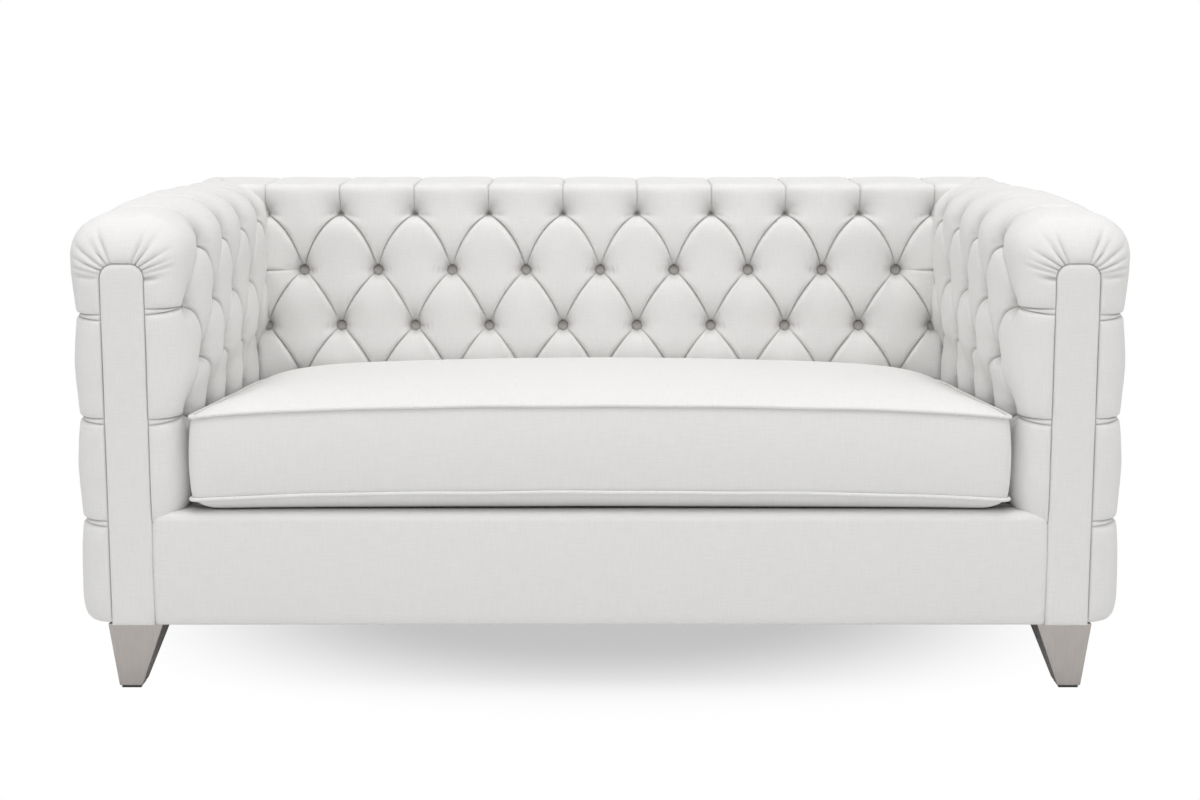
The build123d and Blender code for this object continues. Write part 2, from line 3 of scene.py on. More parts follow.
import bmesh
import bpy
import numpy as np
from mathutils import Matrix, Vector


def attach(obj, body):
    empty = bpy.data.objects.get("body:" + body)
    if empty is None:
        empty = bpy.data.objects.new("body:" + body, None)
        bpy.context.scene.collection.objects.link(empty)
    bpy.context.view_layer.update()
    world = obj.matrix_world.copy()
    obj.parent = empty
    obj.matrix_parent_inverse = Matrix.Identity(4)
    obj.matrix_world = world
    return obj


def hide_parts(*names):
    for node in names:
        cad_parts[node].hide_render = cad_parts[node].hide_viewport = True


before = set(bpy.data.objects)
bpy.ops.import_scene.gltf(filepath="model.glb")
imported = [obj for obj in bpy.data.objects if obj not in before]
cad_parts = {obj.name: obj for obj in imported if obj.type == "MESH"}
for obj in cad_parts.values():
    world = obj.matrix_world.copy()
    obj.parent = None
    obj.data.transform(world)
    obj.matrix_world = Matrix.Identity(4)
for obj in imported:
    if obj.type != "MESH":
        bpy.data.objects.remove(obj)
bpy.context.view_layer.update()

# Seat, arm and back frame: sawn hardwood rails and posts with fibreboard sides, glued and
# screwed. All of it lies under the upholstery, so the CAD solids stay and get a wood finish.


def new_material(name):
    """New material with its nodes, links and shader."""
    material = bpy.data.materials.new(name)
    material.use_nodes = True
    nodes = material.node_tree.nodes
    return material, nodes, material.node_tree.links, nodes["Principled BSDF"]


def set_inputs(node, values):
    for socket, value in values.items():
        node.inputs[socket].default_value = value


def add_noise(nodes, links, place, stretch, scale, detail):
    """Noise on coordinates that are stretched first."""
    mapping = nodes.new("ShaderNodeMapping")
    noise = nodes.new("ShaderNodeTexNoise")
    set_inputs(mapping, {"Scale": stretch})
    set_inputs(noise, {"Scale": scale, "Detail": detail})
    links.new(place, mapping.inputs["Vector"])
    links.new(mapping.outputs["Vector"], noise.inputs["Vector"])
    return noise.outputs["Fac"]


def add_tones(nodes, links, pattern, dark, light):
    """Colour that follows a pattern; dark and light are each a place in its range and a colour."""
    ramp = nodes.new("ShaderNodeValToRGB")
    for element, (place, colour) in zip(ramp.color_ramp.elements, (dark, light)):
        element.position = place
        element.color = (*colour, 1.0)
    links.new(pattern, ramp.inputs["Fac"])
    return ramp.outputs["Color"]


def add_bump(nodes, links, pattern, shader, strength, distance):
    bump = nodes.new("ShaderNodeBump")
    set_inputs(bump, {"Strength": strength, "Distance": distance})
    links.new(pattern, bump.inputs["Height"])
    links.new(bump.outputs["Normal"], shader.inputs["Normal"])


def wood_finish(name, dark, light, stretch):
    """Grain that is long where the stretch is small."""
    material, nodes, links, shader = new_material(name)
    place = nodes.new("ShaderNodeTexCoord").outputs["Object"]
    grain = add_noise(nodes, links, place, stretch, scale=40.0, detail=6.0)
    links.new(add_tones(nodes, links, grain, (0.3, dark), (0.7, light)), shader.inputs["Base Color"])
    add_bump(nodes, links, grain, shader, strength=0.2, distance=0.0006)
    set_inputs(shader, {"Roughness": 0.7})
    return material


def finish_nodes(material, names):
    for name in names:
        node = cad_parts[name]
        node.data.materials.clear()
        node.data.materials.append(material)


rail_wood = wood_finish("rail_wood", (0.36, 0.24, 0.13), (0.6, 0.45, 0.29), (0.25, 1.0, 1.0))
post_wood = wood_finish("post_wood", (0.34, 0.23, 0.13), (0.57, 0.43, 0.28), (1.0, 1.0, 0.25))
side_board = wood_finish("side_board", (0.2, 0.13, 0.08), (0.31, 0.22, 0.14), (1.0, 1.0, 1.0))
finish_nodes(rail_wood, ["front_seat_rail", "rear_seat_rail", "rear_spring_rail", "seat_cross_brace",
                         "back_top_rail", "back_tack_rail", "corner_blocks"])
for side in ("left_", "right_"):
    finish_nodes(post_wood, [side + part for part in (
        "arm_front_post", "arm_rear_post", "arm_top_rail", "seat_side_rail", "arm_tack_rail", "back_post")])
    finish_nodes(side_board, [side + "arm_inner_board", side + "arm_outer_board"])
finish_nodes(post_wood, ["back_uprights"])

# Springs, clips and leg hardware: oiled spring wire and zinc plated steel, and the woven
# webbing stapled across the back frame. The black non-woven dust cover closes the underside.
ROUGHNESS_SPREAD = 0.06
# dark tint that painted shade mixes into the cloths where their attribute fold is high
PAINTED_SHADE_TINT = (0.2, 0.188, 0.176, 1.0)
MIX_SHARE, MIX_FIRST, MIX_SECOND, MIX_RESULT = 0, 6, 7, 2


def tinted(colour, share):
    return tuple(min(1.0, share * part) for part in colour)


def metal_finish(name, colour, roughness, scale, stretch):
    """Metal with a fine grain in its colour, gloss and relief."""
    material, nodes, links, shader = new_material(name)
    place = nodes.new("ShaderNodeTexCoord").outputs["Object"]
    grain = add_noise(nodes, links, place, stretch, scale, detail=4.0)
    gloss = nodes.new("ShaderNodeMapRange")
    set_inputs(gloss, {"To Min": roughness - ROUGHNESS_SPREAD, "To Max": roughness + ROUGHNESS_SPREAD})
    links.new(grain, gloss.inputs["Value"])
    links.new(gloss.outputs["Result"], shader.inputs["Roughness"])
    tone = add_tones(nodes, links, grain, (0.25, tinted(colour, 0.94)), (0.75, tinted(colour, 1.05)))
    links.new(tone, shader.inputs["Base Color"])
    add_bump(nodes, links, grain, shader, strength=0.08, distance=0.0002)
    set_inputs(shader, {"Metallic": 1.0})
    return material


def shade_folds(nodes, links, colour, shader):
    """Take a cloth's colour to the shader, mixed towards a dark tint where its attribute fold is high:
    painted shade in folds, creases and pockets.
    """
    fold = nodes.new("ShaderNodeAttribute")
    fold.attribute_name = "fold"
    mix = nodes.new("ShaderNodeMix")
    mix.data_type = "RGBA"
    mix.inputs[MIX_SECOND].default_value = PAINTED_SHADE_TINT
    links.new(fold.outputs["Fac"], mix.inputs[MIX_SHARE])
    links.new(colour, mix.inputs[MIX_FIRST])
    links.new(mix.outputs[MIX_RESULT], shader.inputs["Base Color"])


def plain_cloth(name, colour, thread, roughness):
    """Cloth of one colour with a fleck the size of its thread."""
    material, nodes, links, shader = new_material(name)
    place = nodes.new("ShaderNodeTexCoord").outputs["Object"]
    fleck = add_noise(nodes, links, place, (1.0, 1.0, 1.0), thread, detail=3.0)
    tone = add_tones(nodes, links, fleck, (0.3, tinted(colour, 0.86)), (0.7, tinted(colour, 1.1)))
    # painted shade: darker where the attribute fold is high
    shade_folds(nodes, links, tone, shader)
    add_bump(nodes, links, fleck, shader, strength=0.3, distance=0.0004)
    set_inputs(shader, {"Roughness": roughness})
    return material


spring_steel = metal_finish("spring_steel", (0.36, 0.36, 0.37), 0.42, 60.0, (1.0, 1.0, 1.0))
finish_nodes(spring_steel, ["seat_springs", "spring_clips", "leg_bolts", "leg_inserts", "leg_plates"])
finish_nodes(plain_cloth("back_webbing", (0.2, 0.17, 0.13), 700.0, 0.85), ["back_webbing"])
finish_nodes(plain_cloth("dust_cloth", (0.018, 0.018, 0.02), 500.0, 0.9), ["dust_cover"])

# Linen-look cover cloth: off-white plain weave with slubs in warp and weft and a soft bloom.
# Every covered piece carries a map called cloth, in metres along its warp and weft.
THREAD_SCALE = 260.0
SLUB_SCALE = 520.0
SLUB_LENGTHEN = 0.06
SLUB_SHARE = 0.75


def linen_cloth(name, colour):
    """Slubs along warp and weft over a fine weave, in colour and in relief."""
    material, nodes, links, shader = new_material(name)
    lay = nodes.new("ShaderNodeUVMap")
    lay.uv_map = "cloth"

    def threads(direction):
        wave = nodes.new("ShaderNodeTexWave")
        wave.bands_direction = direction
        set_inputs(wave, {"Scale": THREAD_SCALE, "Distortion": 1.2, "Detail": 2.0})
        links.new(lay.outputs["UV"], wave.inputs["Vector"])
        return wave.outputs["Fac"]

    def combine(operation, first, second):
        node = nodes.new("ShaderNodeMath")
        node.operation = operation
        links.new(first, node.inputs[0])
        if isinstance(second, float):
            node.inputs[1].default_value = second
        else:
            links.new(second, node.inputs[1])
        return node.outputs["Value"]

    warp, weft = (add_noise(nodes, links, lay.outputs["UV"], stretch, SLUB_SCALE, detail=3.0)
                  for stretch in ((1.0, SLUB_LENGTHEN, 1.0), (SLUB_LENGTHEN, 1.0, 1.0)))
    weave = combine("MULTIPLY", threads("X"), threads("Y"))
    slub = combine("MULTIPLY", combine("ADD", warp, weft), 0.5)
    cloth = combine("ADD", combine("MULTIPLY", slub, SLUB_SHARE),
                    combine("MULTIPLY", weave, 1 - SLUB_SHARE))
    tone = add_tones(nodes, links, cloth, (0.28, tinted(colour, 0.93)), (0.62, tinted(colour, 1.025)))
    # painted shade: darker where the attribute fold is high
    shade_folds(nodes, links, tone, shader)
    add_bump(nodes, links, cloth, shader, strength=0.35, distance=0.0004)
    set_inputs(shader, {"Roughness": 0.92, "Specular IOR Level": 0.25,
                        "Sheen Weight": 0.12, "Sheen Roughness": 0.5})
    return material


linen = linen_cloth("linen", (0.79, 0.783, 0.772))

# Buttoned covers: foam on the frame, covered, drawn in at each button and folded into pleats
# between the buttons. A pillow is a patch between its pleats, and the pleats are its creases.
COVER_WALL = 0.004
WELD = 0.00004
SLIVER = 0.00002
EDGE_STEPS = 20
LONG_STEPS = 72
LONG_EVEN = 0.15
PLEAT_OUT = (0.40, 0.80)
PLEAT_DOWN = (0.25, 0.63)
ARCH_OUT = (0.22, 0.14)
ARCH_DOWN = (0.22, 0.12)
PLEAT_SWAY = 0.06
PLEAT_VARIES = 0.15
PLEAT_ENDS = 0.7
FAN_TURNS = (-1.5, -0.62, -0.22, 0.2, 0.6, 1.5)
FAN_TURN_VARIES = 0.12
FAN_RUN_VARIES = 0.25
FAN_START = 0.008
BUTTON_SPAN = 0.12
POCKET_SEAT = 0.0085
POCKET_REACH = 0.0055
FUNNEL_REACH = 0.027
OVERDRAW = 0.001
CREASE_SPAN = 6
VALLEY_SHARE = 0.55
GROOVE_SHARE = 0.65
GROOVE_REACH = 0.0016
RIPPLE_SPAN = 0.015
RIPPLE_REACH = 0.0026
PUCKER_DEPTH = 0.0008
PUCKER_AWAY = 0.024
PUCKER_BAND = 0.011
SWELL_DEPTH = 0.0009
# painted shade that the cloth takes through its attribute fold: round the buttons, in fans above them,
# along the creases and in the ripples
UPPER_SHADE = 0.7
LOWER_SHADE = 0.3
SHADE_REACH = 0.005
HOOD_SHADE = 0.75
FAN_SHADE = 0.42
FAN_REACH = 0.017
FOLD_SHADE = 0.31
FOLD_FULL = 0.008
FOLD_SHADE_WIDTH = 0.0011
RIPPLE_SHADE = 90.0
edge_share = (1 - np.cos(np.pi * np.arange(EDGE_STEPS + 1) / EDGE_STEPS)) / 2
long_even = np.linspace(0.0, 1.0, LONG_STEPS + 1)
long_share = LONG_EVEN * long_even + (1 - LONG_EVEN) * (1 - np.cos(np.pi * long_even)) / 2
double_share = np.concatenate([edge_share / 2, 0.5 + edge_share[1:] / 2])


def chance(*numbers):
    """Steady number from -1 to 1 for a place, so that no two pleats are alike."""
    mixed = math.sin(sum(n * k for n, k in zip(numbers, (127.1, 311.7, 74.7, 53.3)))) * 43758.5453
    return 2 * (mixed - math.floor(mixed)) - 1


def straight(start, end, share=edge_share):
    """Straight line from start to end in the flat cloth."""
    return (1 - share[:, None]) * np.array(start) + share[:, None] * np.array(end)


def taper(share, *stops):
    """Depth along a line, from stops that each give a share of the line and the depth there."""
    return np.interp(share, *zip(*stops))


def join(first, second):
    """One line of two that meet."""
    return np.concatenate([first, second[1:]])


def show(name, data):
    """Object of a mesh, a lamp or a camera, put in the scene."""
    piece = bpy.data.objects.new(name, data)
    bpy.context.collection.objects.link(piece)
    return piece


def to_line(u, s, line, values):
    """Distance of places to a line, and the line's value at the nearest point."""
    start, run = line[:-1], line[1:] - line[:-1]
    length = np.maximum((run**2).sum(1), 1e-12)
    du, ds = u[..., None] - start[:, 0], s[..., None] - start[:, 1]
    share = np.clip((du * run[:, 0] + ds * run[:, 1]) / length, 0, 1)
    away = (du - share * run[:, 0]) ** 2 + (ds - share * run[:, 1]) ** 2
    nearest = away.argmin(-1)
    best = np.take_along_axis(share, nearest[..., None], -1)[..., 0]
    distance = np.sqrt(np.take_along_axis(away, nearest[..., None], -1)[..., 0])
    return distance, values[nearest] * (1 - best) + values[nearest + 1] * best


class Cover:
    """One buttoned cover: its buttons, its creases, the pillows between them, and its mesh."""

    def __init__(self, surface, buttons, depths, lips, rise):
        self.surface = surface
        self.buttons = np.array(buttons)
        self.depths = np.array(depths)
        self.lips = np.array(lips)
        self.rise = rise
        self.creases = {}
        self.ripples = []
        self.pillows = []

    def crease(self, line, depth, reach, width=FOLD_SHADE_WIDTH):
        """Draw the cover in along a line, by a depth given at each of its points, and paint shade over its
        width.
        """
        key = tuple(np.round(np.sort([line[0], line[-1]], axis=0).ravel(), 5))
        self.creases[key] = (line, depth * np.ones(len(line)), reach, width)
        return line

    def pleat(self, high, low, depth, reach, arch, width=FOLD_SHADE_WIDTH):
        """Pleat that leaves the higher button sideways and drops to the lower one, more so with an arch."""
        high, low = np.array(high), np.array(low)
        run = low - high
        sway = PLEAT_SWAY * chance(*high, *low)
        first = high + run * (PLEAT_OUT[0] + sway + ARCH_OUT[0] * arch,
                              PLEAT_DOWN[0] - ARCH_DOWN[0] * arch)
        second = high + run * (PLEAT_OUT[1] + ARCH_OUT[1] * arch,
                               PLEAT_DOWN[1] + sway - ARCH_DOWN[1] * arch)
        t = edge_share[:, None]
        line = (1 - t) ** 3 * high + 3 * t * (1 - t) ** 2 * first
        line = line + 3 * t**2 * (1 - t) * second + t**3 * low
        depth = depth * (1 + PLEAT_VARIES * chance(*low, *high))
        return self.crease(line, depth * (1 + PLEAT_ENDS * np.abs(2 * edge_share - 1) ** 3), reach, width)

    def fan(self, place, upward, length, depth):
        """Small creases that run up from a button, where the cloth is drawn together."""
        for turn in FAN_TURNS:
            angle = turn + FAN_TURN_VARIES * chance(*place, turn)
            run = length * (1 + FAN_RUN_VARIES * chance(turn, *place))
            heading = np.array((math.sin(angle), upward * math.cos(angle)))
            line = straight(np.array(place) + FAN_START * heading, np.array(place) + run * heading)
            self.ripples.append((line, taper(edge_share, (0, 0.0), (0.25, depth), (1, 0.0))))

    def pillow(self, first, last, start, end, across, along):
        """Patch between four lines: first and last run across, start and end run along."""
        p, q = across[:, None, None], along[None, :, None]
        net = (1 - q) * first[:, None] + q * last[:, None] + (1 - p) * start[None] + p * end[None]
        net -= (1 - p) * (1 - q) * first[0] + p * (1 - q) * first[-1]
        net -= (1 - p) * q * last[0] + p * q * last[-1]
        self.pillows.append((net[..., 0], net[..., 1]))

    def drop(self, u, s):
        """How far the cover is drawn in below its full height, and how much painted shade each place gets
        round the buttons and in the creases.
        """
        drawn, fold = np.zeros(u.shape), np.zeros(u.shape)
        low, high = np.array([u.min(), s.min()]), np.array([u.max(), s.max()])
        near, angle = np.full(u.shape, 1.0), np.zeros(u.shape)
        for place, depth, lip in zip(self.buttons, self.depths, self.lips):
            if np.any(place < low - BUTTON_SPAN) or np.any(place > high + BUTTON_SPAN):
                continue
            lower = (s - place[1]) * np.sign(place[1]) > 0
            away = np.hypot(u - place[0], (s - place[1]) * np.where(lower, lip, 1.0))
            closer = away < near
            near = np.where(closer, away, near)
            angle = np.where(closer, np.arctan2(s - place[1], u - place[0]), angle)
            past = np.clip(away - POCKET_SEAT / lip, 0, None)
            pocket, funnel = np.exp(-past / POCKET_REACH), np.exp(-past / FUNNEL_REACH)
            drawn += (depth * (0.5 * pocket + 0.5 * funnel)) ** 4
            # painted shade round each button, stronger above it than below, with a fan of it above, widest
            # where the button hides under a lip
            above = np.clip((place[1] - s) * np.sign(place[1]) / np.maximum(away, 1e-6), 0, 1)
            fan = HOOD_SHADE * above if lip > 1 else FAN_SHADE * above**3
            fold = np.maximum(fold, np.where(lower, LOWER_SHADE, UPPER_SHADE) * np.exp(-past / SHADE_REACH))
            fold = np.maximum(fold, fan * np.exp(-past / FAN_REACH))
        for line, depth, reach, width in self.creases.values():
            span = CREASE_SPAN * reach
            if np.any(line.max(0) < low - span) or np.any(line.min(0) > high + span):
                continue
            away, here = to_line(u, s, line, depth)
            valley, groove = np.exp(-away / reach), np.exp(-away / GROOVE_REACH)
            drawn += (here * (VALLEY_SHARE * valley + GROOVE_SHARE * groove)) ** 4
            # painted shade along the crease, a thin dark line as wide as the crease's shade width
            shade = FOLD_SHADE * np.clip(here / FOLD_FULL, 0, 1)
            fold = np.maximum(fold, shade * np.exp(-((away / width) ** 2)))
        drawn = np.minimum(drawn**0.25, self.rise + OVERDRAW)
        ripple = np.zeros(u.shape)
        for line, depth in self.ripples:
            if np.any(line.max(0) < low - RIPPLE_SPAN) or np.any(line.min(0) > high + RIPPLE_SPAN):
                continue
            away, here = to_line(u, s, line, depth)
            ripple = np.maximum(ripple, here * np.exp(-away / RIPPLE_REACH))
        drawn = drawn + ripple
        # painted shade in the ripples too
        fold = np.maximum(fold, RIPPLE_SHADE * ripple)
        band = np.exp(-(((near - PUCKER_AWAY) / PUCKER_BAND) ** 2))
        pucker = PUCKER_DEPTH * np.cos(8 * angle + 40 * u) * band
        swell = SWELL_DEPTH * np.sin(31 * u + 17 * s + 1.3) * np.sin(23 * u - 29 * s)
        return drawn + (pucker + swell) * np.clip(1 - drawn / self.rise, 0, 1), fold

    def mesh(self, name, mirror=False, cut=()):
        """Weld the pillows, cut the ends off at planes and give the cover its wall."""
        points, lay, faces, folds = [], [], [], []
        count = 0
        for u, s in self.pillows:
            drop, fold = self.drop(u, s)
            folds.append(fold.ravel())
            place = np.stack(self.surface(u, s, drop), -1).reshape(-1, 3)
            rows, columns = u.shape
            corner = (np.arange(rows - 1)[:, None] * columns + np.arange(columns - 1)[None]).ravel() + count
            faces.append(np.stack([corner, corner + columns, corner + columns + 1, corner + 1], -1))
            points.append(place)
            lay.append(np.stack([u.ravel(), s.ravel()], -1))
            count += rows * columns
        points, lay, faces = np.concatenate(points), np.concatenate(lay), np.concatenate(faces)
        if mirror:
            points = points * (-1, 1, 1)
        made = bpy.data.meshes.new(name)
        made.from_pydata(points.tolist(), [], faces.tolist())
        made.uv_layers.new(name="cloth").data.foreach_set("uv", lay[faces.ravel()].ravel())
        # attribute fold: painted shade, which darkens the cloth's colour in creases and round the buttons
        made.attributes.new("fold", "FLOAT", "POINT").data.foreach_set("value", np.concatenate(folds))
        work = bmesh.new()
        work.from_mesh(made)
        bmesh.ops.remove_doubles(work, verts=work.verts, dist=WELD)
        bmesh.ops.dissolve_degenerate(work, edges=work.edges, dist=SLIVER)
        for plane_point, plane_normal, touches, clear in cut:
            touched = [face for face in work.faces if touches(face.calc_center_median())]
            geometry = dict.fromkeys(touched)
            for face in touched:
                geometry.update(dict.fromkeys([*face.verts, *face.edges]))
            bmesh.ops.bisect_plane(work, geom=list(geometry), plane_co=plane_point, plane_no=plane_normal,
                                   clear_outer=clear)
        loose = [vertex for vertex in work.verts if not vertex.link_faces]
        bmesh.ops.delete(work, geom=loose, context="VERTS")
        bmesh.ops.recalc_face_normals(work, faces=work.faces)
        highest = max(work.faces, key=lambda face: face.calc_center_median().z)
        if highest.normal.z < 0:
            bmesh.ops.reverse_faces(work, faces=work.faces)
        for face in work.faces:
            face.smooth = True
        work.to_mesh(made)
        work.free()
        made.materials.append(linen)
        piece = show(name, made)
        skin = piece.modifiers.new("wall", "SOLIDIFY")
        skin.thickness = COVER_WALL
        skin.offset = -1.0
        return piece


# Inside back: ten buttons in the top row and diamonds below, leaning back a little, with the
# cover drawn over the top rail in shallow pleats and tacked along the outside back.
BACK_RISE = 0.028
BACK_SLOPE = 0.08749
BACK_VALLEY = 0.194
BACK_LEVEL = 0.376
FRONT_ROLL = 0.016
REAR_ROLL = 0.063
BACK_TOP = 0.7436
BACK_REAR = 0.420
BACK_PITCH = 0.139
BACK_ROW = 0.104
ROLL_BASE = 0.684
BACK_PLEAT = 0.010
BACK_PLEAT_REACH = 0.008
TOP_ARCH = 0.45
LOW_ARCH = 0.1
TOP_PLEAT = ((0.0, 0.014), (0.12, 0.007), (0.6, 0.0055), (1.0, 0.004))
TOP_PLEAT_REACH = 0.009
END_FOLD = ((0, 0.005), (1, 0.008))
END_FOLD_REACH = 0.006
TACK_DEPTH = 0.005
TACK_REACH = 0.005
BACK_TUCK = 0.028
BACK_FAN = (0.036, 0.0040)
BACK_END = 0.676
BACK_CORNER = 0.646
CORNER_DEPTH = 0.020
CORNER_REACH = 0.006
CORNER_SHADE_WIDTH = 0.004
RIB_END = 0.835
HIDDEN_LIP = 2.4
CORNER_MIDDLE = (0.781, 0.390)
lean = math.atan(BACK_SLOPE)
back_turn = math.pi / 2 - lean
front_edge_z = BACK_TOP - FRONT_ROLL + FRONT_ROLL * math.sin(lean)
front_edge_y = BACK_VALLEY - BACK_RISE / math.cos(lean) + (front_edge_z - BACK_LEVEL) * BACK_SLOPE
front_arc_y = front_edge_y + FRONT_ROLL * math.cos(lean)
rear_arc_y = BACK_REAR - REAR_ROLL
back_middle = (front_arc_y + rear_arc_y) / 2
flat_half = (rear_arc_y - front_arc_y) / 2


def back_base(s):
    """Full face of the back and its outward direction: s from the middle of the top, front below 0."""
    sign = np.sign(s)
    limit = np.where(s > 0, math.pi / 2, back_turn)
    roll = np.where(s > 0, REAR_ROLL, FRONT_ROLL)
    run = np.clip(np.abs(s) - flat_half, 0, None)
    turn = np.minimum(run / roll, limit)
    rest = np.clip(run - roll * limit, 0, None)
    ny, nz = sign * np.sin(turn), np.cos(turn)
    y = back_middle + sign * np.minimum(np.abs(s), flat_half) + roll * ny + sign * rest * np.cos(turn)
    z = BACK_TOP - roll + roll * nz - rest * np.sin(turn)
    return y, z, ny, nz


def round_corner(x, y):
    """Round the outer corner of the top, where an arm and the back meet."""
    dx, dy = np.abs(x) - CORNER_MIDDLE[0], y - CORNER_MIDDLE[1]
    share = np.maximum(dx, dy) / np.maximum(np.hypot(dx, dy), 1e-9)
    share = np.where((dx > 0) & (dy > 0), share, 1.0)
    return x - np.sign(x) * dx * (1 - share), y - dy * (1 - share)


def back_surface(u, s, drop):
    """Point of the back's cover, u across it and s over it, drawn in by drop."""
    y, z, ny, nz = back_base(s)
    x, y = round_corner(u, y - ny * drop)
    return x, y, z - nz * drop


def back_place(row, column):
    """Button of the inside back in u and s."""
    z = ROLL_BASE + BACK_RISE * math.sin(lean) - (row - 1) * BACK_ROW
    drop = (front_edge_z - z) / math.cos(lean)
    return (column * BACK_PITCH, -(flat_half + FRONT_ROLL * back_turn + drop))


back_buttons = [back_place(row, step / 2) for row in range(1, 5) for step in range(-9, 10)
                if (row + step) % 2 == 0]
back_lips = [HIDDEN_LIP if place[1] > back_place(1.5, 0)[1] else 1.0 for place in back_buttons]
back_cover = Cover(back_surface, back_buttons, [BACK_RISE] * len(back_buttons), back_lips, BACK_RISE)
back_seam = flat_half + REAR_ROLL * math.pi / 2 + BACK_TOP - REAR_ROLL - ROLL_BASE
back_foot = back_place(5, 0)[1] - BACK_TUCK


def back_pleat(high, low):
    """Pleat between two buttons of the back, each a row and a column; the top row's are rounder."""
    arch = TOP_ARCH if high[0] == 1 else LOW_ARCH
    return back_cover.pleat(back_place(*high), back_place(*low), BACK_PLEAT, BACK_PLEAT_REACH, arch)


def top_pleat(column):
    """Pleat from a button of the top row straight over the top."""
    start = back_place(1, column)
    line = straight(start, (start[0], back_seam), long_share)
    return back_cover.crease(line, taper(long_share, *TOP_PLEAT), TOP_PLEAT_REACH)


# diamonds of the second, third and fourth row, with half cells at the arms
for row in (2, 3, 4):
    for step in range(-9, 10):
        if (row + step) % 2 == 0:
            continue
        column = step / 2
        left, right = (row, column - 0.5), (row, column + 0.5)
        top, low = (row - 1, column), (row + 1, column)
        if abs(step) < 9:
            back_cover.pillow(back_pleat(top, right), back_pleat(left, low),
                              back_pleat(top, left), back_pleat(right, low), edge_share, edge_share)
            continue
        side = 1 if step > 0 else -1
        inner = (row, column - 0.5 * side)
        inner_u, level = back_place(*inner)
        wall_top, wall_low = (side * BACK_END, back_place(*top)[1]), (side * BACK_END, back_place(*low)[1])
        wall = (side * BACK_END, level)
        end_fold = straight((inner_u, level), wall)
        back_cover.crease(end_fold, taper(edge_share, *END_FOLD), END_FOLD_REACH)
        back_cover.pillow(straight(back_place(*top), wall_top), end_fold,
                          back_pleat(top, inner), straight(wall_top, wall), edge_share, edge_share)
        back_cover.pillow(end_fold, straight(back_place(*low), wall_low),
                          back_pleat(inner, low), straight(wall, wall_low), edge_share, edge_share)
        corner_line = straight((side * BACK_CORNER, wall_top[1]), (side * BACK_CORNER, wall_low[1]))
        back_cover.crease(corner_line, CORNER_DEPTH, CORNER_REACH, CORNER_SHADE_WIDTH)

# lowest pillows, which hang down behind the cushion to the deck
for column in range(-4, 5):
    left, right = back_place(5, column - 0.5), back_place(5, column + 0.5)
    drawn = join(back_pleat((4, column), (5, column - 0.5))[::-1],
                 back_pleat((4, column), (5, column + 0.5)))
    foot = straight((left[0], back_foot), (right[0], back_foot), double_share)
    back_cover.pillow(drawn, foot, straight(left, (left[0], back_foot)),
                      straight(right, (right[0], back_foot)), double_share, edge_share)

# ribs over the top, from the second row to the seam on the outside back
for column in range(-4, 5):
    left, right = (1, column - 0.5), (1, column + 0.5)
    drawn = join(back_pleat(left, (2, column)), back_pleat(right, (2, column))[::-1])
    seam = straight((back_place(*left)[0], back_seam), (back_place(*right)[0], back_seam), double_share)
    back_cover.pillow(drawn, seam, top_pleat(column - 0.5), top_pleat(column + 0.5),
                      double_share, long_share)

# end ribs, which run on into the mitres over the arms
for side in (-1, 1):
    start = back_place(1, 4.5 * side)
    end_low = (side * RIB_END, start[1])
    back_cover.pillow(straight(start, end_low), straight((start[0], back_seam), (end_low[0], back_seam)),
                      top_pleat(4.5 * side), straight(end_low, (end_low[0], back_seam), long_share),
                      edge_share, long_share)
back_cover.crease(straight((-RIB_END, back_seam), (RIB_END, back_seam)), TACK_DEPTH, TACK_REACH)
for place in back_buttons:
    back_cover.fan(place, 1, *BACK_FAN)

# mitre with each arm: from the inside corner to a knee, then out to the outer corner
MITRE_INNER = (0.6975, 0.213)
MITRE_KNEE = (0.748, 0.357)
MITRE_OUTER = (0.811, 0.420)
MITRE_LAP = 0.0015
MITRE_MARGIN = 0.006


def mitre(side, start, end, touches, keep_back):
    """Cut along one leg of a mitre: a point, the side that goes, a test of the faces, and to clear them."""
    run = Vector((end[0] - start[0], end[1] - start[1], 0.0)).normalized()
    outward = Vector((side * run.y, -run.x, 0.0)) * (1 if keep_back else -1)
    return (Vector((side * start[0], start[1], 0.0)) + outward * MITRE_LAP, outward, touches, True)


def back_mitre(side):
    """Split the back's end at the knee of the mitre, then cut each half along its own leg."""
    def at_end(middle):
        return side * middle.x > MITRE_INNER[0] - MITRE_MARGIN

    def before_knee(middle):
        return at_end(middle) and middle.y < MITRE_KNEE[1]

    def past_knee(middle):
        return at_end(middle) and middle.y > MITRE_KNEE[1]

    split = (Vector((0.0, MITRE_KNEE[1], 0.0)), Vector((0.0, 1.0, 0.0)), at_end, False)
    return [split, mitre(side, MITRE_INNER, MITRE_KNEE, before_knee, True),
            mitre(side, MITRE_KNEE, MITRE_OUTER, past_knee, True)]


inside_back = back_cover.mesh("inside_back", cut=back_mitre(1) + back_mitre(-1))
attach(inside_back, "frame")
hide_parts("back_pad", "back_roll")

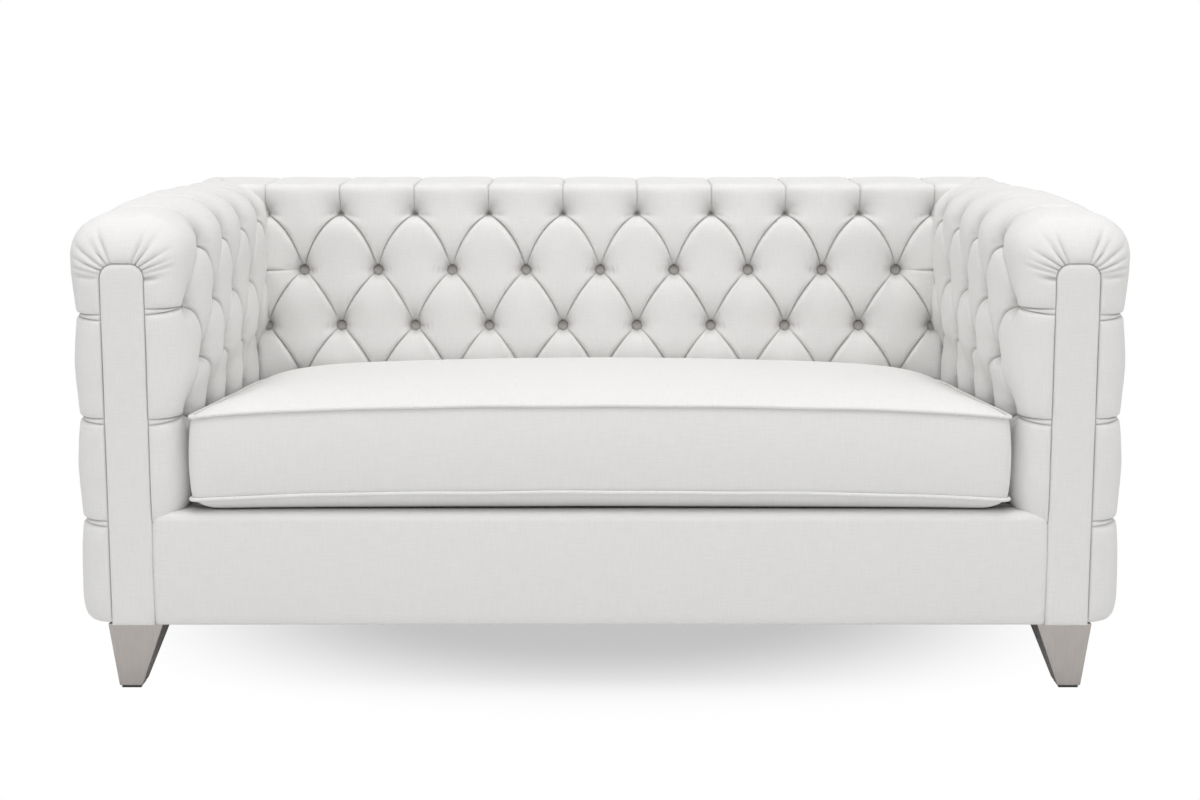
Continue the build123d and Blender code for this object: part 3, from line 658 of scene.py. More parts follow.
# Arms: one buttoned cover each, from the seat deck up the inside, over the top and down the
# outside, gathered in front round the edge of a narrow facing.
ARM_RADIUS = 0.036
ARM_FLAT = 0.025
ARM_MIDDLE = 0.723
ARM_SPRING = 0.681
ARM_FRONT = -0.4165
REAR_START = 0.405
REAR_ROUND = 0.012
REAR_LAP = 0.016
FIRST_BUTTON = -0.3457
ARM_RISE = 0.027
INNER_DEPTH = 0.026
INNER_SWELL = 0.016
ARM_CROWN = 0.009
ARM_NOSE = 0.008
FRONT_ROUND = 0.062
FACING_MIDDLE = 0.720
FACING_HALF = 0.0330
FACING_TOP = 0.6715
FACING_CORNER = 0.022
FACING_FRONT = -0.4147
DECK_FRONT = 0.288
DECK_SLOPE = 0.05241
ARM_LOW = 0.109
INNER_ROWS = (0.085, 0.104)
OUTER_TOP = 0.670
OUTER_ROW = 0.080
ARM_TOP_PITCH = 0.1416
LIP_LEVEL = 0.66
ARM_PLEAT = 0.0145
ARM_PLEAT_REACH = 0.014
INNER_ARCH = 0.6
INNER_FOLD_SHADE_WIDTH = 0.0026
OUTER_ARCH = 0.3
FOLD_GAP = 0.0046
FRONT_FOLD = ((0.0, 0.005), (0.5, 0.010), (1.0, 0.013))
REAR_FOLD = 0.010
FOLD_REACH = 0.012
SWELL_LOW = 0.445
SWELL_RISE = 0.05
SWELL_FRONT = -0.42
SWELL_RUN = 0.19
CROWN_END = 0.25
SEAM_ABOVE = 0.012
SEAM_BLEND = 0.016
LAP_START = 0.30
LAP_RUN = 0.09
REAR_TUCK = 0.013
arc_half = ARM_FLAT + ARM_RADIUS * math.pi / 2
facing_flat = FACING_HALF - FACING_CORNER
facing_reach = facing_flat + FACING_CORNER * math.pi / 2
facing_whole = arc_half + ARM_SPRING - (FACING_TOP - FACING_CORNER)
round_end = ARM_FRONT + FRONT_ROUND
front_u = round_end - FRONT_ROUND * math.pi / 2
rear_u = REAR_START + REAR_ROUND * math.pi / 2 + REAR_TUCK


def facing_edge(s):
    """Edge of the facing at s, as X and Z."""
    sign = np.sign(s)
    run = np.abs(s)
    bent = np.minimum(run, facing_whole) * facing_reach / facing_whole
    turn = np.clip(bent - facing_flat, 0, None) / FACING_CORNER
    x = FACING_MIDDLE + sign * (np.minimum(bent, facing_flat) + FACING_CORNER * np.sin(turn))
    z = FACING_TOP - FACING_CORNER + FACING_CORNER * np.cos(turn) - np.clip(run - facing_whole, 0, None)
    return x, z


def arm_surface(u, s, drop):
    """Point of the right arm's cover: u front to back, s from the crest, less than 0 inside."""
    sign = np.sign(s)
    turn = np.clip((np.abs(s) - ARM_FLAT) / ARM_RADIUS, 0, math.pi / 2)
    nx, nz = sign * np.sin(turn), np.cos(turn)
    rest = np.clip(np.abs(s) - arc_half, 0, None)
    x = ARM_MIDDLE + sign * np.minimum(np.abs(s), ARM_FLAT) + (ARM_RADIUS + ARM_RISE) * nx
    z = ARM_SPRING + (ARM_RADIUS + ARM_RISE) * nz - rest
    bend = np.clip((u - front_u) / FRONT_ROUND, 0, math.pi / 2)
    over = np.clip((z - SWELL_LOW) / SWELL_RISE, 0, 1)
    over = over**2 * (3 - 2 * over) * np.clip((u - SWELL_FRONT) / SWELL_RUN, 0, 1)
    x = np.where(s < 0, x + nx * INNER_SWELL * over, x)
    along = np.clip((u - front_u) / (CROWN_END - front_u), 0, 1)
    z = z + np.clip(nz, 0, 1) * (ARM_CROWN * np.sin(np.pi * along) ** 2 - ARM_NOSE * (1 - along) ** 8)
    edge_x, edge_z = facing_edge(s)
    below = np.clip((ARM_SPRING + SEAM_ABOVE - z) / SEAM_BLEND, 0, 1)
    past = np.clip(u - REAR_START, 0, None) * below
    wrap = np.minimum(past / REAR_ROUND, math.pi / 2)
    inward = REAR_ROUND * (1 - np.cos(wrap)) + np.clip(past - REAR_ROUND * math.pi / 2, 0, None)
    x = edge_x + (x - edge_x) * np.sin(bend) - nx * (np.sin(bend) * np.cos(wrap) * drop + inward)
    z = edge_z + (z - edge_z) * np.sin(bend) - nz * np.sin(bend) * drop
    lap = u + REAR_LAP * np.clip((u - LAP_START) / LAP_RUN, 0, 1) * (1 - below)
    y = np.where(past > 0, below * (REAR_START + REAR_ROUND * np.sin(wrap)) + (1 - below) * lap, lap)
    y = np.where(u < round_end, ARM_FRONT + FRONT_ROUND * (1 - np.cos(bend)), y)
    x, y = round_corner(x, y + (np.cos(bend) - np.sin(wrap)) * drop)
    return x, y, z


def side_run(z):
    """Distance from the crest down one side to a height."""
    if z > ARM_SPRING:
        return ARM_FLAT + ARM_RADIUS * math.acos((z - ARM_SPRING) / ARM_RADIUS)
    return arc_half + ARM_SPRING - z


def deck_level(y):
    """Height of the deck, which falls towards the back."""
    return DECK_FRONT - (y - FACING_FRONT) * DECK_SLOPE


def inner_level(row, column):
    """Height of a button inside the arm; the rows draw together towards the front."""
    front, rear = INNER_ROWS
    return ROLL_BASE - (row - 1) * (front + (rear - front) * column / 4)


def inner_place(row, column):
    """Button on the inside of the arm in u and s."""
    z = inner_level(row, column)
    corner = BACK_VALLEY + (z - BACK_LEVEL) * BACK_SLOPE
    return (FIRST_BUTTON + (corner - FIRST_BUTTON) * column / 4, -side_run(z))


def outer_place(row, column):
    """Button on the outside of the arm in u and s."""
    return (FIRST_BUTTON + column * ARM_TOP_PITCH, side_run(OUTER_TOP - (row - 1) * OUTER_ROW))


inner_marks = [(row, step / 2) for row in range(1, 6) for step in range(0, 8) if (row + step) % 2 == 0]
outer_marks = [(row, step / 2) for row in range(1, 8) for step in range(0, 11) if (row + step) % 2 == 0]
inner_buttons = [inner_place(*mark) for mark in inner_marks]
outer_buttons = [outer_place(*mark) for mark in outer_marks]
arm_depths = [INNER_DEPTH] * len(inner_buttons) + [ARM_RISE] * len(outer_buttons)
arm_buttons = inner_buttons + outer_buttons
arm_lips = [HIDDEN_LIP if -side_run(LIP_LEVEL) < place[1] < 0 else 1.0 for place in arm_buttons]
arm_cover = Cover(arm_surface, arm_buttons, arm_depths, arm_lips, ARM_RISE)


def arm_pleat(place, high, low):
    """Pleat between two buttons of one side, each a row and a column."""
    arch, width = (INNER_ARCH, INNER_FOLD_SHADE_WIDTH) if place is inner_place else (OUTER_ARCH, FOLD_SHADE_WIDTH)
    return arm_cover.pleat(place(*high), place(*low), ARM_PLEAT, ARM_PLEAT_REACH, arch, width)


def down(place):
    """Direction of s that goes down one side."""
    return -1 if place is inner_place else 1


def front_fold(place, row, edge):
    """Level fold from the facing to the first button of a row; edge is its upper or lower line."""
    button = place(row, 0)
    line = straight((front_u, button[1] + edge * FOLD_GAP), button)
    return arm_cover.crease(line, taper(edge_share, *FRONT_FOLD), FOLD_REACH)


def rear_fold(place, row):
    """Level fold from the last button of a row round the rear edge."""
    button = place(row, 5)
    return arm_cover.crease(straight(button, (rear_u, button[1])), REAR_FOLD, FOLD_REACH)


# diamonds of both sides, with the level folds that run from them round the front and the rear edge
for place, rows, whole in ((inner_place, (2, 3, 4), 4), (outer_place, (2, 3, 4, 5, 6), 5)):
    for row in rows:
        for step in range(1, 2 * whole):
            if (row + step) % 2 == 0:
                continue
            column = step / 2
            left, right = (row, column - 0.5), (row, column + 0.5)
            top, low = (row - 1, column), (row + 1, column)
            arm_cover.pillow(arm_pleat(place, top, right), arm_pleat(place, left, low),
                             arm_pleat(place, top, left), arm_pleat(place, right, low),
                             edge_share, edge_share)
        if row % 2:
            upper, lower = front_fold(place, row - 1, down(place)), front_fold(place, row + 1, -down(place))
            drawn = join(arm_pleat(place, (row - 1, 0), (row, 0.5)),
                         arm_pleat(place, (row, 0.5), (row + 1, 0)))
            arm_cover.pillow(upper, lower, straight(upper[0], lower[0], double_share), drawn,
                             edge_share, double_share)
        else:
            upper, lower = front_fold(place, row, -down(place)), front_fold(place, row, down(place))
            arm_cover.pillow(upper, lower, straight(upper[0], lower[0]), straight(upper[-1], lower[-1]),
                             edge_share, edge_share)
        if row % 2 and place is outer_place:
            upper, lower = rear_fold(place, row - 1), rear_fold(place, row + 1)
            drawn = join(arm_pleat(place, (row - 1, 5), (row, 4.5)),
                         arm_pleat(place, (row, 4.5), (row + 1, 5)))
            arm_cover.pillow(upper, lower, drawn, straight(upper[-1], lower[-1], double_share),
                             edge_share, double_share)

# inside corner with the back, from the second row down
arm_cover.pillow(
    arm_pleat(inner_place, (2, 4), (3, 3.5)), straight(inner_place(3, 4), inner_place(4, 4)),
    straight(inner_place(2, 4), inner_place(3, 4)), arm_pleat(inner_place, (3, 3.5), (4, 4)),
    edge_share, edge_share)
CORNER_AHEAD = 0.016
corner_line = [(u - CORNER_AHEAD, s) for u, s in (inner_place(1, 4), inner_place(5, 4))]
arm_cover.crease(straight(*corner_line), CORNER_DEPTH, CORNER_REACH, CORNER_SHADE_WIDTH)

# pillows over the top of the arm, from the inside second row to the outside second row
TOP_FOLD = ((0.0, 0.016), (0.1, 0.013), (0.3, 0.011), (0.42, 0.004), (0.6, 0.003),
            (0.85, 0.006), (1.0, 0.014))
LAST_FOLD = ((0.0, 0.001), (0.42, 0.001), (0.6, 0.002), (0.85, 0.006), (1.0, 0.014))
TOP_FOLD_REACH = 0.008


def top_fold(column):
    """Shallow pleat from a button inside over the arm to one outside; the last fades into the mitre."""
    depth = taper(long_share, *(LAST_FOLD if column > 4 else TOP_FOLD))
    line = straight(inner_place(1, column), outer_place(1, column), long_share)
    return arm_cover.crease(line, depth, TOP_FOLD_REACH)


def chevron(place, column):
    """Lower end of a pillow over the top, between two buttons of the first row."""
    return join(arm_pleat(place, (1, column - 0.5), (2, column)),
                arm_pleat(place, (1, column + 0.5), (2, column))[::-1])


for column in (1, 2, 3, 4):
    arm_cover.pillow(chevron(inner_place, column), chevron(outer_place, column),
                     top_fold(column - 0.5), top_fold(column + 0.5), double_share, long_share)

# front pillow round the top of the facing, with gathers at its corners, and the rear corner
three_share = np.concatenate([edge_share * 0.25, 0.25 + long_share[1:] * 0.5, 0.75 + edge_share[1:] * 0.25])


def top_end(column, outside):
    """Line from the second row inside over the top to the second row outside."""
    return join(join(arm_pleat(inner_place, (1, column), (2, outside))[::-1], top_fold(column)),
                arm_pleat(outer_place, (1, column), (2, outside)))


inner_upper, outer_upper = front_fold(inner_place, 2, 1), front_fold(outer_place, 2, -1)
arm_cover.pillow(inner_upper, outer_upper, straight(inner_upper[0], outer_upper[0], three_share),
                 top_end(0.5, 0), edge_share, three_share)
GATHERS = 6
GATHER_FIRST = 0.036
GATHER_PITCH = 0.015
GATHER_LENGTH = 0.062
GATHER_VARIES = 0.014
GATHER_SWAY = 0.006
GATHER_FOLD = ((0, 0.0075), (0.35, 0.006), (1, 0.0))
GATHER_REACH = 0.004
for side in (-1, 1):
    for step in range(GATHERS):
        s = side * (GATHER_FIRST + GATHER_PITCH * step)
        length = GATHER_LENGTH + GATHER_VARIES * chance(step, side)
        gather = straight((front_u, s), (front_u + length, s + side * GATHER_SWAY * chance(side, step)))
        arm_cover.crease(gather, taper(edge_share, *GATHER_FOLD), GATHER_REACH)
inner_upper, outer_upper = rear_fold(inner_place, 2), rear_fold(outer_place, 2)
arm_cover.pillow(inner_upper, outer_upper, top_end(4.5, 5),
                 straight(inner_upper[-1], outer_upper[-1], three_share), edge_share, three_share)

# lowest pillows: inside down to the deck, outside down to the bottom edge
FRONT_TUCK = 0.024
DECK_TUCK = 0.004
HEM_DEPTH = 0.020
HEM_REACH = 0.014
FACING_SEAM = 0.006
FACING_SEAM_REACH = 0.004
FACING_SEAM_ENDS = (-0.5, 0.7)
ARM_FAN = (0.038, 0.0028)


def inner_foot(u):
    """Where the cover meets the deck inside, a little below its level."""
    tuck = np.interp(u, (front_u, round_end), (FRONT_TUCK, DECK_TUCK))
    return -side_run(deck_level(max(u, ARM_FRONT)) - tuck)


outer_foot = side_run(ARM_LOW)
for place, row, columns in ((inner_place, 5, (1, 2, 3)), (outer_place, 7, (1, 2, 3, 4))):
    foot = inner_foot if place is inner_place else (lambda u: outer_foot)
    for column in columns:
        left, right = place(row, column - 0.5), place(row, column + 0.5)
        drawn = join(arm_pleat(place, (row - 1, column), (row, column - 0.5))[::-1],
                     arm_pleat(place, (row - 1, column), (row, column + 0.5)))
        ends = [(u, foot(u)) for u in (left[0], right[0])]
        arm_cover.pillow(drawn, straight(ends[0], ends[1], double_share),
                         straight(left, ends[0]), straight(right, ends[1]), double_share, edge_share)
    button = place(row, 0.5)
    lower = front_fold(place, row - 1, down(place))
    end, front_end = (button[0], foot(button[0])), (front_u, foot(front_u))
    bottom = straight(front_end, end, double_share)
    bottom[:, 1] = [foot(u) for u in bottom[:, 0]]
    arm_cover.pillow(join(lower, arm_pleat(place, (row - 1, 0), (row, 0.5))), bottom,
                     straight(lower[0], front_end), straight(button, end), double_share, edge_share)
    arm_cover.crease(bottom, HEM_DEPTH, HEM_REACH)
    arm_cover.crease(straight(end, (rear_u, foot(rear_u))), HEM_DEPTH, HEM_REACH)
button, corner = inner_place(5, 3.5), inner_place(4, 4)
button_foot, corner_foot = ((u, inner_foot(u)) for u in (button[0], corner[0]))
arm_cover.pillow(arm_pleat(inner_place, (4, 4), (5, 3.5))[::-1], straight(button_foot, corner_foot),
                 straight(button, button_foot), straight(corner, corner_foot), edge_share, edge_share)
button = outer_place(7, 4.5)
rear_line = rear_fold(outer_place, 6)
arm_cover.pillow(join(arm_pleat(outer_place, (6, 5), (7, 4.5))[::-1], rear_line),
                 straight((button[0], outer_foot), (rear_u, outer_foot), double_share),
                 straight(button, (button[0], outer_foot)), straight(rear_line[-1], (rear_u, outer_foot)),
                 double_share, edge_share)
facing_seam = straight(*((front_u, s) for s in FACING_SEAM_ENDS))
arm_cover.crease(facing_seam, FACING_SEAM, FACING_SEAM_REACH)
for upward, places in ((1, inner_buttons), (-1, outer_buttons)):
    for place in places:
        arm_cover.fan(place, upward, *ARM_FAN)

# rear end of each arm, cut along the mitre of the back
ARM_MITRE_START = 0.02
ARM_MITRE_LOW = 0.001


def arm_mitre(side):
    """Cut the arm's end, above the seam and inside the back, along both legs of the mitre."""
    def at_end(middle):
        raised = middle.z > ROLL_BASE - ARM_MITRE_LOW
        return middle.y > MITRE_INNER[1] + ARM_MITRE_START and (raised or abs(middle.x) < ARM_MIDDLE)

    return [mitre(side, start, end, at_end, False)
            for start, end in ((MITRE_INNER, MITRE_KNEE), (MITRE_KNEE, MITRE_OUTER))]


for side, mark in ((1, "right"), (-1, "left")):
    arm = arm_cover.mesh(mark + "_arm", mirror=side < 0, cut=arm_mitre(side))
    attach(arm, "frame")
    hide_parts(mark + "_arm_inner_pad", mark + "_arm_outer_pad", mark + "_arm_roll")

# Covered buttons: domed metal shells covered in the same linen and pulled tight into the foam
# by a cord, one form set on every button place of the back and the arms. Their cloth is coloured
# much darker than the linen, as painted shade of the deep pockets they sit in.
BUTTON_RADIUS = 0.0098
BUTTON_CROWN = 0.0063
BUTTON_RINGS = ((0.40, 0.0058), (0.72, 0.0047), (0.93, 0.0027), (1.0, 0.0002), (0.88, -0.0022))
BUTTON_SIDES = 16
BUTTON_SIZES = (0.97, 1.03)
BUTTON_SEED = 7
LEAST_IN, MOST_IN, NUMBER_OUT = 2, 3, 1
BUTTON_PROUD = 0.002
BUTTON_AIM = 0.012
BUTTON_PAINTED_SHADE = (0.25, 0.75, 0.9)
HIDDEN_SINK = 0.012
DECK_CLEAR = 0.02
# painted shade: the buttons' cloth is the linen made much darker, for the shade in their pockets
button_cloth_painted_shade = plain_cloth("button_cloth_painted_shade", (0.42, 0.398, 0.38), 900.0, 0.9)


def make_tree(name, sockets):
    """New tree of geometry nodes with named inputs; gives the tree and its two end nodes."""
    tree = bpy.data.node_groups.new(name, "GeometryNodeTree")
    tree.interface.new_socket("Geometry", in_out="INPUT", socket_type="NodeSocketGeometry")
    for label, kind in sockets:
        tree.interface.new_socket(label, in_out="INPUT", socket_type="NodeSocket" + kind)
    tree.interface.new_socket("Geometry", in_out="OUTPUT", socket_type="NodeSocketGeometry")
    return tree, tree.nodes.new("NodeGroupInput"), tree.nodes.new("NodeGroupOutput")


def wire(tree, *pairs):
    """Links of a tree, each from a node and its output to a node and its input."""
    for source, output, target, into in pairs:
        tree.links.new(source.outputs[output], target.inputs[into])


def grow(base, tree, values, name):
    """Run a tree on a base mesh and give the result as a plain mesh object."""
    seed_object = show(name + "_base", base)
    modifier = seed_object.modifiers.new("nodes", "NODES")
    modifier.node_group = tree
    for item in tree.interface.items_tree:
        if item.in_out == "INPUT" and item.name in values:
            modifier[item.identifier] = values[item.name]
    view = bpy.context.evaluated_depsgraph_get()
    made = bpy.data.meshes.new_from_object(seed_object.evaluated_get(view))
    made.name = name
    bpy.data.objects.remove(seed_object)
    return show(name, made)


button_tree, tree_in, tree_out = make_tree("set_buttons", (
    ("Form", "Object"), ("Least Size", "Float"), ("Most Size", "Float"), ("Cloth", "Material")))
nodes = button_tree.nodes
form = nodes.new("GeometryNodeObjectInfo")
outward = nodes.new("GeometryNodeInputNamedAttribute")
outward.data_type = "FLOAT_VECTOR"
outward.inputs["Name"].default_value = "outward"
turn = nodes.new("FunctionNodeAlignRotationToVector")
size = nodes.new("FunctionNodeRandomValue")
size.inputs["Seed"].default_value = BUTTON_SEED
on_points = nodes.new("GeometryNodeInstanceOnPoints")
real = nodes.new("GeometryNodeRealizeInstances")
paint = nodes.new("GeometryNodeSetMaterial")
wire(button_tree,
     (tree_in, "Form", form, "Object"),
     (tree_in, "Geometry", on_points, "Points"),
     (form, "Geometry", on_points, "Instance"),
     (outward, "Attribute", turn, "Vector"),
     (turn, "Rotation", on_points, "Rotation"),
     (tree_in, "Least Size", size, LEAST_IN),
     (tree_in, "Most Size", size, MOST_IN),
     (size, NUMBER_OUT, on_points, "Scale"),
     (on_points, "Instances", real, "Geometry"),
     (real, "Geometry", paint, "Geometry"),
     (tree_in, "Cloth", paint, "Material"),
     (paint, "Geometry", tree_out, "Geometry"))

form_points, form_faces = [(0.0, 0.0, BUTTON_CROWN)], []
for ring, (reach, height) in enumerate(BUTTON_RINGS):
    for step in range(BUTTON_SIDES):
        angle = 2 * math.pi * step / BUTTON_SIDES
        radius = BUTTON_RADIUS * reach
        form_points.append((radius * math.cos(angle), radius * math.sin(angle), height))
        here = 1 + ring * BUTTON_SIDES + step
        following = 1 + ring * BUTTON_SIDES + (step + 1) % BUTTON_SIDES
        if ring == 0:
            form_faces.append((0, here, following))
        else:
            form_faces.append((here - BUTTON_SIDES, here, following, following - BUTTON_SIDES))
form_faces.append(tuple(reversed(range(len(form_points) - BUTTON_SIDES, len(form_points)))))
form_mesh = bpy.data.meshes.new("button_form")
form_mesh.from_pydata(form_points, [], form_faces)
form_mesh.shade_smooth()
button_form = bpy.data.objects.new("button_form", form_mesh)


def set_buttons(name, node, cover, places, depth, side):
    """Buttons at places of a cover, on its right or mirrored to its left, with painted shade on their upper
    half.
    """
    u, s = np.array(places).T
    seat, above = (np.stack(cover.surface(u, s, depth - raised + np.zeros(len(u))), -1) * (side, 1, 1)
                   for raised in (BUTTON_PROUD, BUTTON_AIM))
    base = bpy.data.meshes.new(name)
    base.from_pydata(seat.tolist(), [], [])
    aim = base.attributes.new("outward", "FLOAT_VECTOR", "POINT")
    aim.data.foreach_set("vector", (above - seat).ravel())
    piece = grow(base, button_tree, {"Form": button_form, "Least Size": BUTTON_SIZES[0],
                                     "Most Size": BUTTON_SIZES[1], "Cloth": button_cloth_painted_shade}, name)
    # painted shade: the upper half of each button gets a higher attribute fold, darker towards the top, as
    # if the pocket's upper wall shaded it
    levels = np.array([vertex.co.z for vertex in piece.data.vertices]).reshape(len(u), -1)
    upper = (levels - levels.mean(1, keepdims=True)) / BUTTON_RADIUS
    middle, spread, most = BUTTON_PAINTED_SHADE
    fold = np.clip(middle + spread * upper, 0, most)
    piece.data.attributes.new("fold", "FLOAT", "POINT").data.foreach_set("value", fold.ravel())
    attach(piece, "frame")
    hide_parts(node)


back_sunk = np.where(np.array(back_lips) > 1, HIDDEN_SINK, 0.0)
set_buttons("back_button_set", "back_buttons", back_cover, back_buttons, BACK_RISE + back_sunk, 1)
shown_inner = [inner_place(*mark) for mark in inner_marks
               if inner_level(*mark) > deck_level(inner_place(*mark)[0]) + DECK_CLEAR]
for side, mark in ((1, "right"), (-1, "left")):
    set_buttons(mark + "_inner_button_set", mark + "_arm_inner_buttons",
                arm_cover, shown_inner, INNER_DEPTH, side)
    set_buttons(mark + "_outer_button_set", mark + "_arm_outer_buttons",
                arm_cover, outer_buttons, ARM_RISE, side)
bpy.data.objects.remove(button_form)

# Arm facings: narrow boards with a thin layer of wadding, covered and pressed in between the
# pillows, so that a seam runs round them.
FACING_BACK = -0.4007
FACING_LOW = 0.109
FACING_ROWS = 24
CORNER_STEPS = 9
FACING_BEVEL = ((0.0, 0.0045), (0.0009, 0.0018), (0.003, 0.0002), (0.0075, -0.0006), (0.016, -0.001))
LEAST_CORNER = 0.002


def loft(name, rings, material, flat=False):
    """Closed piece through rings of points, with a flat map or one along and round it, in metres."""
    rings = np.array(rings)
    count, sides = rings.shape[:2]
    quads = []
    for ring in range(count - 1):
        for step in range(sides):
            following = (step + 1) % sides
            quads.append((ring * sides + step, ring * sides + following,
                          (ring + 1) * sides + following, (ring + 1) * sides + step))
    faces = list(quads)
    faces.append(tuple(reversed(range(sides))))
    faces.append(tuple(range((count - 1) * sides, count * sides)))
    made = bpy.data.meshes.new(name)
    made.from_pydata(rings.reshape(-1, 3).tolist(), [], faces)
    along = np.concatenate([[0], np.cumsum(np.linalg.norm(np.diff(rings.mean(1), axis=0), axis=1))])
    gaps = np.linalg.norm(np.roll(rings, -1, axis=1) - rings, axis=2)
    around = np.concatenate([np.zeros((count, 1)), np.cumsum(gaps, axis=1)], axis=1)
    cloth = made.uv_layers.new(name="cloth").data
    for face in made.polygons:
        corners = list(face.loop_indices)
        if flat or face.index >= len(quads):
            for corner in corners:
                point = rings.reshape(-1, 3)[made.loops[corner].vertex_index]
                cloth[corner].uv = (point[0], point[2])
            continue
        ring, step = divmod(face.index, sides)
        places = ((ring, step), (ring, step + 1), (ring + 1, step + 1), (ring + 1, step))
        for corner, (r, c) in zip(corners, places):
            cloth[corner].uv = (along[r], around[r, c])
    work = bmesh.new()
    work.from_mesh(made)
    bmesh.ops.recalc_face_normals(work, faces=work.faces)
    for face in work.faces:
        face.smooth = True
    work.to_mesh(made)
    work.free()
    made.materials.append(material)
    return show(name, made)


def facing_outline(inset):
    """Outline of the facing in X and Z, drawn in by inset."""
    half, top, low = FACING_HALF - inset, FACING_TOP - inset, FACING_LOW + inset
    radius = max(FACING_CORNER - inset, LEAST_CORNER)
    points = [(-half, z) for z in np.linspace(low, top - radius, FACING_ROWS)]
    for turn in np.linspace(0, math.pi / 2, CORNER_STEPS)[1:]:
        points.append((-half + radius - radius * math.cos(turn), top - radius + radius * math.sin(turn)))
    points += [(-x, z) for x, z in reversed(points)]
    return points


for side, mark in ((1, "right"), (-1, "left")):
    levels = [(0.0, FACING_BACK)] + [(inset, FACING_FRONT + y) for inset, y in FACING_BEVEL]
    rings = [[(side * (FACING_MIDDLE + x), y, z) for x, z in facing_outline(inset)] for inset, y in levels]
    facing = loft(mark + "_facing", rings, linen, flat=True)
    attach(facing, "frame")
    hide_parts(mark + "_arm_facing")

# Front border: one plain strip of linen over wadding, drawn tight between the facings and
# rolled back over the front rail.
BORDER_HALF = 0.687
BORDER_FRONT = -0.4127
BORDER_ROLL = 0.015
BORDER_LIP = -0.3647
BORDER_LOW = 0.109
BORDER_HEM = ((0.006, 0.0), (0.0015, 0.0012))
BORDER_START = 0.006
BORDER_CROWN = 0.0028
BORDER_FULLNESS = 0.8
BORDER_SINK = 0.0018
LIP_BACK = 0.004
LIP_TUCK = (0.002, 0.02)
END_PULL = 0.0045
END_PULL_REACH = 0.004
BORDER_WAVE = 0.0006
BORDER_COLUMNS = 97
BORDER_ROWS = 14
ROLL_STEPS = 12


def border_profile(pull):
    """Outline of the border in Y and Z, drawn back by pull near its ends."""
    front = BORDER_FRONT + pull
    top = deck_level(BORDER_FRONT)
    points = [(BORDER_LIP + LIP_BACK, BORDER_LOW)]
    points += [(front + y, BORDER_LOW + z) for y, z in BORDER_HEM]
    for z in np.linspace(BORDER_LOW + BORDER_START, top - BORDER_ROLL, BORDER_ROWS):
        share = (z - BORDER_LOW) / (top - BORDER_ROLL - BORDER_LOW)
        points.append((front - BORDER_CROWN * math.sin(math.pi * share) ** BORDER_FULLNESS, z))
    for turn in np.linspace(0, math.pi / 2, ROLL_STEPS)[1:]:
        rolled = top - pull - BORDER_ROLL + BORDER_ROLL * math.sin(turn) - BORDER_SINK * math.sin(turn)
        points.append((front + BORDER_ROLL * (1 - math.cos(turn)), rolled))
    lip = deck_level(BORDER_LIP)
    return points + [(BORDER_LIP, lip - pull), (BORDER_LIP + LIP_TUCK[0], lip - LIP_TUCK[1])]


rings = []
for share in np.linspace(-1, 1, BORDER_COLUMNS):
    x = BORDER_HALF * math.sin(share * math.pi / 2)
    pull = END_PULL * math.exp(-(BORDER_HALF - abs(x)) / END_PULL_REACH)
    wave = BORDER_WAVE * math.sin(9 * x + 1) * math.sin(23 * x)
    rings.append([(x, y + wave, z) for y, z in border_profile(pull)])
border = loft("front_border", rings, linen)
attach(border, "frame")
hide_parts("front_border_pad")

# Deck: plain cotton cloth over a sheet of felt, laid on the springs and tacked to the rails. It
# is hidden until the cushion is lifted off.
DECK_HALF = 0.687
DECK_GAP = 0.003
DECK_NEAR = BORDER_LIP + DECK_GAP
DECK_BACK = 0.2836
DECK_WALL = 0.022
DECK_EDGE = 0.02
EDGE_DROP = 0.0025
DECK_SINK = 0.001
DECK_QUILT = 0.0009
DECK_COLUMNS = 49
DECK_ROWS = 24
DECK_UNDER_ROWS = 6
deck_cloth = plain_cloth("deck_cloth", (0.66, 0.655, 0.645), 800.0, 0.92)
rings = []
for share in np.linspace(-1, 1, DECK_COLUMNS):
    x = DECK_HALF * math.sin(share * math.pi / 2)
    profile = []
    for y in np.linspace(DECK_NEAR, DECK_BACK, DECK_ROWS):
        edge = min(1.0, min(y - DECK_NEAR, DECK_BACK - y, DECK_HALF - abs(x)) / DECK_EDGE)
        quilt = DECK_QUILT * math.sin(19 * x) * math.sin(17 * y)
        profile.append((x, y, deck_level(y) - EDGE_DROP * (1 - edge) ** 2 - DECK_SINK + quilt * edge))
    under = np.linspace(DECK_BACK, DECK_NEAR, DECK_UNDER_ROWS)
    profile += [(x, y, deck_level(y) - DECK_WALL) for y in under]
    rings.append(profile)
deck = loft("seat_deck", rings, deck_cloth)
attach(deck, "frame")
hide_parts("deck_pad")

